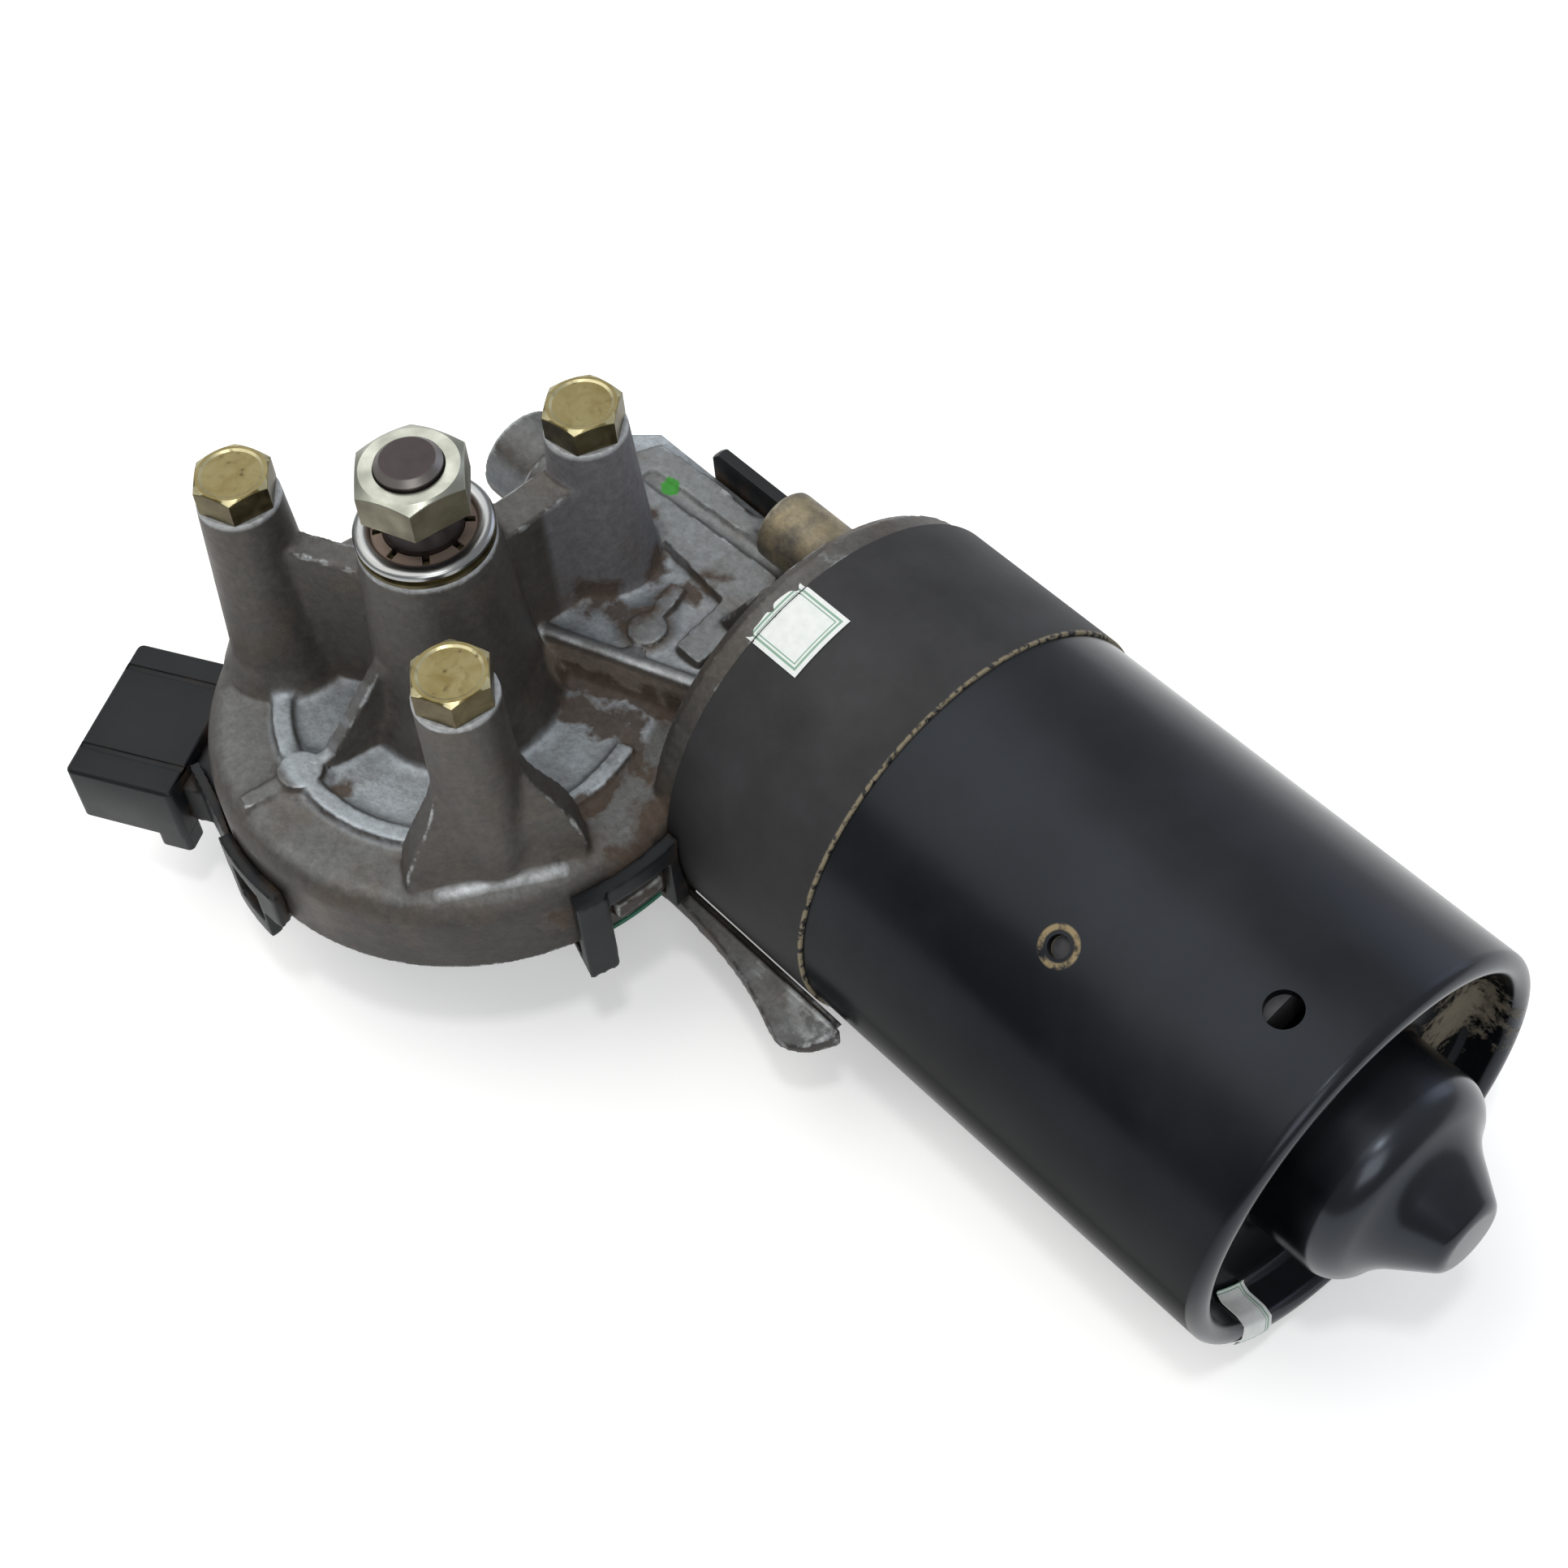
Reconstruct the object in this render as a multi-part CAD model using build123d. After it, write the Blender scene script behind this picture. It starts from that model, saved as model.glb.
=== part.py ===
from build123d import *
import os
from math import atan2, cos, degrees, pi, radians, sin, sqrt, tan

# Windscreen wiper motor: a cast gear housing with three mounting bosses, a worm and worm wheel,
# a plastic cover with the connector, and a steel motor can. Millimetres, +Z up along the output shaft.
# The origin is on the output shaft's axis, in the plane of the three boss tops.
# The armature lies along +X and its closed can end points to +X.

# Mounting bosses and their bolts
boss_circle_r = 30.0
boss_angles = (90, 210, 330)
boss_top_r = 6.4
boss_foot_r = 8.3
bolt_shank_r = 3.5
bolt_hex_af = 11.0
bolt_head_h = 4.8
bolt_length = 24.0
bolt_head_turns = (9.5, 20.5, 23.2)

# Gear train
module = 1.25
wheel_teeth = 58
worm_pitch_r = 5.0
wheel_face_w = 7.4
worm_turns = 7
wheel_tooth_w = 2.0
worm_thread_w = 1.4
dedendum_share = 1.25
flank_angle = 20.0
axis_z = -44.0

# Output shaft and what sits on it
shaft_r = 6.0
thread_r = 5.0
shaft_top_z = 16.2
shaft_top_bevel = 0.9
neck_depth = 0.6
neck_w = 0.5
shaft_foot_z = -50.2
nut_af = 16.0
nut_h = 8.0
nut_foot_z = 5.35
nut_turn = 22
hub_r = 9.0
lock_rim_r = 10.7
lock_rim_h = 1.3
washer_t = 0.6
washer_r = 10.3
circlip_r = 8.6
circlip_t = 1.0
circlip_groove = 0.45

# Gear housing casting
chamber_clear = 0.7
disc_top_z = -37.0
disc_edge_r = 4.0
housing_foot_z = -52.1
wall = 2.8
roof_t = 2.4
spindle_top_r = 10.5
spindle_foot_r = 12.6
bush_wall = 2.0
bush_upper_len = 11.0
bush_lower_len = 13.0
seal_h = 2.0
block_top_z = -30.0
block_back_y = 53.0
block_left_x = -19.0
tunnel_r = 8.2
tunnel_left_x = -38.5
tunnel_clear = 0.9
tunnel_end_x = 22.0
rib_w = 3.0
rib_h = 1.5
rib_circle_r = 28.4
rib_arcs = ((-156, -100), (-100, -40), (-14, 22))
pad_r = 4.3
pad_angle = -100
spoke_w = 2.8
boss_flare = 2.4
spindle_flare = 3.6
left_web = (-9.9, -7.7, 4.6)
rear_web = (-7.0, -7.0, 7.0)
front_web = (-20.0, -14.0, 4.0)
step_line = ((1.0, 10.6), (31.0, 22.4))
block_side = (-6.0, 22.0)
block_bevel = 5.0
block_flank = 20.0
ridge_w = 2.4
ridge_h = 1.4
roof_outline = (
    (-15, 40), (-11, 50.5), (3, 51.5), (21, 49.5), (27, 38), (27.5, 25), (22, 25), (20.5, 36), (4, 37.5),
)
roof_h = 2.0
groove_outline = ((-8, 43.2), (24, 45.2), (24, 48.0), (-8, 46.0))
block_pad = (16.1, 24.4)
spur_angle = 108
spur_len = 9.5
spur_h = 1.6
tunnel_collar_x = -28.0
tunnel_collar_t = 1.6
flange_face_x = 39.9
flange_t = 5.4
flange_band_t = 3.9
flange_step = 0.4
flange_rim_step = 0.8
spigot_t = 3.5
flange_rib_w = 3.0
flange_rib_run = 13.0
flange_rib_top = 2.0
roof_ribs = ((34.0, 17.0), (53.5, 13.0))
long_rib_y = 50.0
long_rib = ((7.5, -31.0), (35.5, -31.0), (35.5, -23.6), (22.0, -23.6), (7.5, -30.0))
back_rib_rise = 14.0
fin_t = 4.0
fin_root_y = 5.4
fin_front = ((46.0, 5.2), (53.6, 4.4), (60.0, 3.1), (66.0, 1.2), (69.8, 0.3), (72.8, 1.5), (74.9, 3.9))
fin_tip = (76.4, 7.4)
fin_slope = 0.4
fin_ledge_t = 1.6
fin_ledge_drop = 1.3
ledge_clear = 0.3
bell_left = ((-13.3, -38.2), (-13.5, -34.4), (-12.4, -31.3), (-9.9, -26.3), (-7.3, -21.0), (-6.4, -14.0))
bell_right = ((6.6, -14.0), (8.4, -21.0), (11.5, -26.5), (13.2, -31.8), (13.6, -34.8), (13.3, -38.2))
bell_face = (
    (29.0, -11.0), (30.6, -11.0), (32.6, -18.0), (34.7, -26.0), (35.0, -34.2), (35.2, -39.5), (29.0, -39.5),
)
bell_foot = ((34.0, -34.4), (35.0, -34.4), (35.7, -35.9), (37.3, -36.9), (37.3, -38.0), (34.0, -38.0))
bell_foot_w = 8.8
front_boss_foot_r = 6.7
fin_top_z = -56.0
fin_gap = 1.0
lug_r = 5.8
lug_inset = 8.4
lug_angles = (75, 250)
lug_len = 8.0
lug_hood = 4.4
lug_bore_r = 4.5

# Plastic cover, its seal and the connector
rim_inset = 1.6
rim_t = 1.2
pan_inset = 4.4
cover_wall = 2.0
cover_depth = 5.1
cover_rib_h = 0.8
cover_rib_w = 1.6
cover_hub_r = 15.0
cover_spokes = 6
cover_spoke_turn = 15
seal_t = 0.8
seal_inset = (0.9, 2.5)
clip_t = 2.2
clip_gap = 0.2
front_clip_angles = (-17, 9)
front_clip_window = (-10, 5)
front_clip_window_z = -43.5
front_post_arc = 6.5
front_clip_top_z = -39.5
front_catch_z = (-48.5, -45.5)
rear_clip_x = (-1.5, 16.8)
rear_clip_top_z = -24.4
rear_clip_bevel = 1.6
rear_clip_z = (-46.0, -36.0)
rear_catch_z = (-42.0, -39.0)
catch_play = 0.4
left_clip_arc = (-104, -83)
left_clip_foot_arc = (-103, -89)
left_clip_window = (-99, -90)
left_clip_z = (-55.5, -47.5)
left_clip_top_z = -44.5
left_clip_foot_z = -59.5
left_catch_z = (-51.2, -48.6)
fence = ((-27.3, -36.6), (-10.3, -40.9))
fence_t = 1.7
fence_top_z = -47.5
fence_foot_w = 10.5
shelf_h = 2.2
shelf_reach = 5.5
cover_clear = 0.4
stiffener_h = 0.8
stiffener_reach = 33.0
socket_angle = 29.2
socket_len = 27.0
socket_depth = 18.8
socket_h = 12.0
socket_top_z = -48.0
socket_wall = 1.7
socket_back = 2.8
socket_gap = 1.2
socket_side_u = -2.2
pin_count = 5
pin_w = 0.8
pin_h = 2.8
pin_len = 8.0

# Park switch contacts under the wheel
contact_tracks = (15.0, 20.5, 26.0)
contact_w = 3.0
contact_len = 18.0
contact_t = 0.5
contact_gap = 0.4
contact_plate_t = 1.6
contact_plate_x = (-31.0, -8.0)
contact_plate_w = 24.0
park_t = 0.5
park_disc_r = 30.5
park_gap_arc = (200, 232)
park_gap_r = (18.0, 32.0)

# Motor can, sleeve and magnets
can_r = 34.4
can_wall = 1.7
can_end_x = 147.8
can_edge_r = 1.9
can_rim_w = 3.6
rim_round_gap = 0.2
recess_floor_x = 140.6
recess_corner_r = 1.6
dome_r = 17.2
dome_straight_x = 151.0
dome_shoulder_r = 5.5
dome_shoulder_angle = 25.0
dome_neck_r = 10.0
dome_nose_angle = 35.0
dome_nose_x = 164.4
dome_nose_r = 2.5
vent_hole = (135.6, 103.0, 2.8)
rivet_hole = (106.4, 124.0, 1.7)
sleeve_t = 0.55
sleeve_end_x = 69.6
magnet_t = 7.0
magnet_arc = 132.0
magnet_angles = (90, 270)
magnet_x = (70.0, 134.5)
air_gap = 0.7
magnet_clip_t = 1.0
magnet_side_gap = 2.5

# Armature
rotor_shaft_r = 4.0
rotor_left_x = -32.0
rotor_right_x = 153.0
core_x = (76.0, 126.0)
core_slots = 12
slot_w_share = 0.224
slot_depth_share = 0.4
slot_mouth_w = 2.2
slot_lip = 2.2
slot_liner = 0.25
coil_x_reach = 9.0
comm_r = 12.0
comm_x = (49.0, 63.0)
comm_bars = 12
comm_groove_w = 0.7
comm_groove_h = 1.0

# Bearings and brush gear
tunnel_bush_r = 6.4
tunnel_bush_len = 10.0
bearing_r = 11.0
bearing_w = 7.0
bearing_x = 36.0
rear_bush_r = 8.5
rear_bush_x = (143.0, 151.0)
rear_clip_w = 3.0
brush_plate_x = (45.0, 47.6)
brush_angles = (0, 125, 180)
brush_w = 4.8
brush_t = 7.0
brush_len = 11.0
holder_wall = 1.0
brush_gap = 0.35
spring_w = 3.6
spring_t = 1.8
choke_angles = (60, 235)
choke_r = 3.4
choke_len = 12.0
choke_inset = 10.7
screw_r = 2.5
screw_af = 7.0
screw_head_h = 3.2

# Fits
press = 0.02
running = 0.04

# Worked out from the sizes above
addendum = module
dedendum = dedendum_share * module
wheel_pitch_r = module * wheel_teeth / 2
axis_y = wheel_pitch_r + worm_pitch_r
lead = pi * module
lead_slope = lead / (2 * pi * worm_pitch_r)
wheel_tip_r = wheel_pitch_r + addendum
wheel_root_r = wheel_pitch_r - dedendum
worm_tip_r = worm_pitch_r + addendum
worm_root_r = worm_pitch_r - dedendum
worm_len = worm_turns * lead
wheel_top_z = axis_z + wheel_face_w / 2
wheel_foot_z = axis_z - wheel_face_w / 2
chamber_r = wheel_tip_r + chamber_clear
disc_r = chamber_r + wall
chamber_top_z = disc_top_z - roof_t
bush_r = shaft_r + bush_wall
neck_r = thread_r - neck_depth
free_end_z = nut_foot_z + nut_h + 0.2
cover_top_z = housing_foot_z - seal_t
cover_foot_z = cover_top_z - cover_depth
can_bore_r = can_r - can_wall
sleeve_r = can_r + sleeve_t
flange_r = can_r - flange_step
lug_circle_r = can_r - lug_inset
choke_circle_r = can_bore_r - choke_inset
socket_side_w = -disc_r - socket_gap
magnet_bore_r = can_bore_r - magnet_t
core_r = magnet_bore_r - air_gap
slot_w = slot_w_share * core_r
slot_depth = slot_depth_share * core_r
slot_mid_r = core_r - slot_lip - slot_depth / 2
flange_back_x = flange_face_x - flange_t
cover_right_x = flange_back_x - cover_clear
cover_floor_z = cover_foot_z + cover_wall
rotor_axis = Pos(0, axis_y, axis_z)
along_x = Rot(0, 90, 0)


def cyl_z(r, z0, z1):
    # A cylinder on the output shaft's axis between two heights
    return Pos(0, 0, (z0 + z1) / 2) * Cylinder(r, z1 - z0)


def tube_z(r_in, r_out, z0, z1):
    return cyl_z(r_out, z0, z1) - cyl_z(r_in, z0 - 1, z1 + 1)


def cyl_x(r, x0, x1):
    # A cylinder on the armature's axis between two stations
    return Pos((x0 + x1) / 2, axis_y, axis_z) * along_x * Cylinder(r, x1 - x0)


def tube_x(r_in, r_out, x0, x1):
    return cyl_x(r_out, x0, x1) - cyl_x(r_in, x0 - 1, x1 + 1)


def block(x0, x1, y0, y1, z0, z1):
    return Pos((x0 + x1) / 2, (y0 + y1) / 2, (z0 + z1) / 2) * Box(x1 - x0, y1 - y0, z1 - z0)


def prism(points, z0, z1, corner=0):
    # A plan outline pushed up from z0 to z1, with its corners rounded where asked
    face = make_face(Polyline(*points, close=True))
    if corner:
        face = fillet(face.vertices(), corner)
    return extrude(Pos(0, 0, z0) * face, z1 - z0)


def arc_wall(r0, r1, a0, a1, z0, z1):
    # A curved wall about the output shaft's axis, from angle a0 to a1
    section = Plane.XZ * Pos((r0 + r1) / 2, (z0 + z1) / 2) * Rectangle(r1 - r0, z1 - z0)
    return Rot(0, 0, a0) * revolve(section, Axis.Z, a1 - a0)


def turned_z(points):
    # A solid of revolution about the output shaft's axis from (r, z) points
    return revolve(make_face(Plane.XZ * Polyline(*points, close=True)), Axis.Z)


def turned_x(wire_or_points):
    # A solid of revolution about the armature's axis from (x, r) points
    line = Polyline(*wire_or_points, close=True)
    return rotor_axis * revolve(make_face(line), Axis.X)


def at_boss(angle):
    a = radians(angle)
    return Pos(boss_circle_r * cos(a), boss_circle_r * sin(a), 0)


def around_rotor(angle):
    # Turns a thing built above the armature's axis (+Y is 0 degrees, +Z is 90) into place
    return rotor_axis * Rot(angle, 0, 0)


# Gear housing


def plan(grow, right_x):
    # The casting's outline at its foot: the gear chamber and the worm tunnel behind it
    box_part = Polyline(
        (block_left_x - grow, disc_r / 2),
        (block_left_x - grow, block_back_y - block_bevel + grow),
        (block_left_x + block_bevel - grow, block_back_y + grow),
        (right_x, block_back_y + grow),
        (right_x, disc_r / 4),
        close=True,
    )
    return Circle(disc_r + grow) + make_face(box_part)


def mounting_boss(angle):
    # A tapered pillar, flared where it meets the disc; the front one is straighter, inside its gusset
    foot_r, flare = boss_foot_r, boss_flare
    if angle == boss_angles[2]:
        foot_r, flare = front_boss_foot_r, 0
    foot_z = disc_top_z - 1
    return at_boss(angle) * turned_z([
        (0, 0), (boss_top_r, 0), (foot_r, disc_top_z + 5), (foot_r + flare, foot_z), (0, foot_z),
    ])


def spindle_boss():
    return turned_z([
        (0, 0), (spindle_top_r - 0.6, 0), (spindle_top_r, -0.6),
        (spindle_foot_r, disc_top_z + 8), (spindle_foot_r + spindle_flare, disc_top_z - 1), (0, disc_top_z - 1),
    ])


def web_to_boss(angle, top_inner_z, top_outer_z, t):
    # The wall between the spindle boss and a mounting boss, standing along the radius
    side = Polyline(
        (spindle_top_r - 3, top_inner_z), (boss_circle_r - 2, top_outer_z),
        (boss_circle_r - 2, disc_top_z - 1), (spindle_top_r - 3, disc_top_z - 1), close=True,
    )
    body = extrude(make_face(Plane.XZ * side), t / 2, both=True)
    return Rot(0, 0, angle) * body


def front_gusset():
    # The bell shaped buttress on the front boss. Its two toes run out over the disc's rounded edge.
    bell = make_face([
        Spline(*bell_left), Line(bell_left[-1], bell_right[0]),
        Spline(*bell_right), Line(bell_right[-1], bell_left[0]),
    ])
    back_r = bell_face[0][0]
    across = extrude(Plane((back_r, 0, 0), x_dir=(0, 1, 0), z_dir=(1, 0, 0)) * bell, 9)
    side = extrude(make_face(Plane.XZ * Polyline(*bell_face, close=True)), bell_right[-1][0] + 1, both=True)
    foot = extrude(make_face(Plane.XZ * Polyline(*bell_foot, close=True)), bell_foot_w, both=True)
    return Rot(0, 0, boss_angles[2]) * ((across & side) + foot)


def radial_gusset(angle, r0, r1, top_z, t):
    # A thin fin that falls from the spindle boss to the disc
    side = Polyline(
        (r0, top_z), (r1, disc_top_z + rib_h), (r1, disc_top_z - 1), (r0, disc_top_z - 1), close=True,
    )
    return Rot(0, 0, angle) * extrude(make_face(Plane.XZ * side), t / 2, both=True)


def disc_ribs():
    # Raised concentric ribs, the round pad they run into and the short spoke beyond it
    top = disc_top_z + rib_h
    foot = disc_top_z - 1
    r0 = rib_circle_r - rib_w / 2
    r1 = rib_circle_r + rib_w / 2
    parts = [arc_wall(r0, r1, a0, a1, foot, top) for a0, a1 in rib_arcs]
    turn = Rot(0, 0, pad_angle)
    parts.append(turn * (Pos(rib_circle_r, 0, 0) * cyl_z(pad_r, foot, top + 0.4)))
    parts.append(turn * block(rib_circle_r, disc_r - 2.5, -spoke_w / 2, spoke_w / 2, foot, top - 0.5))
    parts.append(radial_gusset(pad_angle, 9, rib_circle_r - pad_r, -17, spoke_w))
    return parts


def worm_block():
    # The raised part of the casting behind the step, over and around the worm
    right_x = flange_back_x + 1
    outline = [
        *step_line, (right_x, step_line[1][1] + 1.6), (right_x, block_back_y),
        (block_left_x + block_bevel, block_back_y), (block_left_x, block_back_y - block_bevel),
        (block_left_x, block_back_y - block_flank), block_side,
    ]
    body = prism(outline, housing_foot_z, block_top_z)
    return [body, step_ridge(), roof_plate()] + block_pad_and_spur()


def step_ridge():
    # The rounded lip along the step's edge
    (xa, ya), (xb, yb) = step_line
    turn = atan2(yb - ya, xb - xa)
    length = sqrt((xb - xa) ** 2 + (yb - ya) ** 2)
    bar = block(0, length + 1, 0, ridge_w, housing_foot_z, block_top_z + ridge_h)
    bar = fillet(bar.faces().sort_by(Axis.Z)[-1].edges().filter_by(Axis.X), ridge_w * 0.35)
    return Pos(xa, ya, 0) * Rot(0, 0, degrees(turn)) * bar


def roof_plate():
    plate = prism(roof_outline, block_top_z - 1, block_top_z + roof_h, 0.8)
    return plate - prism(groove_outline, block_top_z + roof_h / 2, block_top_z + roof_h + 1)


def block_pad_and_spur():
    # The second round pad and the spur that runs back from it
    z0 = block_top_z - 1
    pad = cyl_z(pad_r, z0, block_top_z + ridge_h)
    spur = Rot(0, 0, spur_angle) * block(0, spur_len, -spoke_w / 2, spoke_w / 2, z0, block_top_z + spur_h)
    return [Pos(*block_pad, 0) * pad, Pos(*block_pad, 0) * spur]


def worm_tunnel():
    # The round end of the tunnel, with the bush's seat and a blind cup for the thrust screw
    inner_x = block_left_x + 4
    outer = cyl_x(tunnel_r, tunnel_left_x, inner_x)
    collar = cyl_x(tunnel_r + tunnel_collar_t, tunnel_collar_x, inner_x)
    cheek = block(tunnel_collar_x + 1, inner_x, axis_y - 7, axis_y + 7, housing_foot_z, axis_z)
    return [outer, collar, cheek]


def motor_flange():
    # The round plate that closes the motor can, its locating ring and the bearing boss
    plate = cyl_x(flange_r - flange_rim_step, flange_back_x, flange_face_x)
    band = cyl_x(flange_r, flange_face_x - flange_band_t, flange_face_x)
    spigot = tube_x(can_bore_r - spigot_t - 0.1, can_bore_r - 0.1, flange_face_x - 1, brush_plate_x[0])
    boss = cyl_x(bearing_r + 3, flange_back_x, bearing_x + bearing_w)
    parts = [plate, band, spigot, boss]
    for angle in lug_angles:
        x0, x1 = lug_x()
        lug = Pos((x0 + x1) / 2, lug_circle_r, 0) * along_x * Cylinder(lug_r, x1 - x0)
        parts.append(around_rotor(angle) * lug)
    return parts


def lug_x():
    # Each lug runs on past its screw's seat and hides the head
    return (flange_back_x - lug_len - lug_hood, flange_back_x + 2)


def flange_ribs():
    # Webs that carry the flange from the block: two short and one long on the roof, one down the back
    x0 = flange_back_x - flange_rib_run
    x1 = flange_back_x + 1
    parts = []
    for y, rise in roof_ribs:
        web = make_face(Plane.XZ * web_outline(x0, x1, block_top_z, rise))
        parts.append(Pos(0, y, 0) * extrude(web, flange_rib_w / 2, both=True))
    low = make_face(Plane.XZ * Polyline(*long_rib, close=True))
    parts.append(Pos(0, long_rib_y, 0) * extrude(low, flange_rib_w / 2, both=True))
    back = make_face(web_outline(x0, x1, block_back_y, back_rib_rise))
    parts.append(Pos(0, 0, axis_z - flange_rib_w / 2) * extrude(back, flange_rib_w))
    return parts


def web_outline(x0, x1, base, rise):
    # A triangle with a flat at its tall end, standing on a base line
    top_x = x1 - flange_rib_top
    return Polyline((x0, base - 1), (x1, base - 1), (x1, base + rise), (top_x, base + rise), close=True)


def can_fin():
    # The long cast arm along the can's lower front side: its top slopes outward, its end is rounded,
    # and a lower ledge fills the gap beside the can
    can_side_y = axis_y - sqrt(sleeve_r ** 2 - (fin_top_z - axis_z) ** 2)
    inner_y = can_side_y - fin_gap
    foot_z = fin_top_z - fin_t
    band_x = flange_face_x - flange_band_t
    root_y = can_side_y + fin_t
    tip_x, tip_y = fin_tip
    front = Spline((flange_face_x, fin_root_y), *fin_front, fin_tip)
    arm = make_face([
        front, Line(fin_tip, (tip_x, inner_y)), Line((tip_x, inner_y), (flange_face_x, inner_y)),
        Line((flange_face_x, inner_y), (flange_face_x, fin_root_y)),
    ])
    arm = extrude(Pos(0, 0, foot_z) * arm, fin_t)
    low_z = fin_top_z - fin_slope * inner_y
    over = Polyline((inner_y, fin_top_z), (0, low_z), (0, 0), (inner_y, 0), close=True)
    arm -= Pos(flange_face_x - 1, 0, 0) * extrude(Plane.YZ * make_face(over), tip_x)
    root = block(band_x, flange_face_x + 0.5, fin_root_y, root_y, foot_z, fin_top_z)
    ledge_top = fin_top_z - fin_ledge_drop
    ledge_end = tip_x - fin_t / 2
    ledge = block(flange_face_x, ledge_end, inner_y - 1, root_y, ledge_top - fin_ledge_t, ledge_top)
    return arm + [root, ledge - cyl_x(sleeve_r + ledge_clear, flange_face_x, can_end_x)]


def gear_housing():
    skirt = extrude(Pos(0, 0, housing_foot_z) * Circle(disc_r), disc_top_z - housing_foot_z)
    skirt = fillet(skirt.faces().sort_by(Axis.Z)[-1].edges(), disc_edge_r)
    parts = [skirt, spindle_boss(), front_gusset(), can_fin()]
    for angle, web in zip(boss_angles, (rear_web, left_web, front_web)):
        parts += [mounting_boss(angle), web_to_boss(angle, *web)]
    parts += disc_ribs() + worm_block() + worm_tunnel() + motor_flange() + flange_ribs()
    body = parts[0] + parts[1:]
    return body - (housing_bores() + housing_holes()) + cover_catches()


def housing_bores():
    # The wheel chamber, the spindle's bore and everything turned about the armature's axis
    bush_x1 = tunnel_bush_x()[1]
    sleeve_room = cyl_x(sleeve_r + 0.3, flange_face_x, can_end_x)
    return [
        cyl_z(chamber_r, housing_foot_z - 1, chamber_top_z),
        cyl_z(bush_r + press, chamber_top_z - 1, 1),
        cyl_x(worm_tip_r + tunnel_clear, bush_x1, tunnel_end_x),
        cyl_x(tunnel_bush_r + press, tunnel_left_x - 1, bush_x1 + 1),
        cyl_x(rotor_shaft_r + 1, tunnel_end_x - 2, bearing_x + 1),
        cyl_x(bearing_r + press, bearing_x, bearing_x + bearing_w + 1),
        sleeve_room - cyl_x(can_bore_r, flange_face_x - 1, can_end_x + 1),
    ]


def housing_holes():
    # Holes for the mounting bolts and the can's screws, and the flat underside at the tunnel
    cuts = [at_boss(a) * cyl_z(bolt_shank_r + press, -bolt_length - 1, 1) for a in boss_angles]
    for angle in lug_angles:
        hole = Pos(flange_back_x, lug_circle_r, 0) * along_x * Cylinder(screw_r + press, 2 * lug_len + 12)
        seat = Pos(lug_x()[0], lug_circle_r, 0) * along_x * Cylinder(lug_bore_r, 2 * lug_hood)
        cuts += [around_rotor(angle) * hole, around_rotor(angle) * seat]
    under = block(tunnel_left_x, flange_back_x, axis_y - 14, block_back_y, housing_foot_z - 8, housing_foot_z)
    return cuts + [under]


def cover_catches():
    # The noses that the cover's hoops spring over
    a0, a1 = front_clip_window
    x0, x1 = rear_clip_x
    reach = clip_t - catch_play
    front = arc_wall(disc_r - 1, disc_r + reach, a0 + 1.5, a1 - 1.5, *front_catch_z)
    b0, b1 = left_clip_window
    left = arc_wall(disc_r - 1, disc_r + reach, b0 + 1.5, b1 - 1.5, *left_catch_z)
    rear = block(x0 + 5, x1 - 5, block_back_y - 1, block_back_y + reach, *rear_catch_z)
    return [front, left, rear]


def tunnel_bush_x():
    return (rotor_left_x, rotor_left_x + tunnel_bush_len)


# Cover, seal and connector


def cover_seal():
    # A flat green gasket on the casting's foot, with a tongue that shows in the front hoop
    outer, inner = seal_inset
    ring = plan(-outer, cover_right_x) - plan(-inner, cover_right_x - wall)
    seal = extrude(Pos(0, 0, cover_top_z) * ring, seal_t)
    a0, a1 = front_clip_window
    tongue = arc_wall(disc_r - inner + 0.5, disc_r + clip_gap / 2, a0 + 1, a1 - 1, cover_top_z, housing_foot_z)
    return (seal + tongue) - can_room()


def can_room():
    # The space that the flange, the sleeve and the can take up, with a little room around them
    return cyl_x(sleeve_r + cover_clear, flange_back_x - cover_clear, can_end_x)


def cover_clips():
    # Three snap hoops that spring over catches on the casting, and the fence beside the connector
    r0 = disc_r + clip_gap
    r1 = r0 + clip_t
    return front_clip(r0, r1) + left_clip(r0, r1) + [rear_clip(), cover_fence(r0)]


def front_clip(r0, r1):
    # A hoop with one long post; it is open below, where the gasket's tongue shows
    a0, a1 = front_clip_angles
    foot_z = cover_top_z - shelf_h
    hoop = arc_wall(r0, r1, a0, a1, foot_z, front_clip_top_z)
    hoop -= arc_wall(r0 - 2, r1 + 2, *front_clip_window, foot_z - 1, front_clip_window_z)
    a2 = a0 + front_post_arc
    post = arc_wall(r0, r1 + 0.8, a0, a2, cover_foot_z, front_clip_top_z)
    post_shelf = arc_wall(disc_r - shelf_reach, r1, a0, a2, cover_foot_z, cover_foot_z + shelf_h)
    short_shelf = arc_wall(disc_r - shelf_reach, r1, front_clip_window[1], a1, foot_z, cover_top_z)
    return [hoop, post, post_shelf, short_shelf]


def left_clip(r0, r1):
    # A closed hoop, narrower at its foot
    hoop = arc_wall(r0, r1, *left_clip_arc, housing_foot_z, left_clip_top_z)
    hoop += arc_wall(r0, r1, *left_clip_foot_arc, left_clip_foot_z, housing_foot_z + 1)
    hoop -= arc_wall(r0 - 2, r1 + 2, *left_clip_window, *left_clip_z)
    shelf = arc_wall(disc_r - shelf_reach, r1, *left_clip_foot_arc, cover_foot_z, cover_foot_z + shelf_h)
    return [hoop, shelf]


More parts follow.
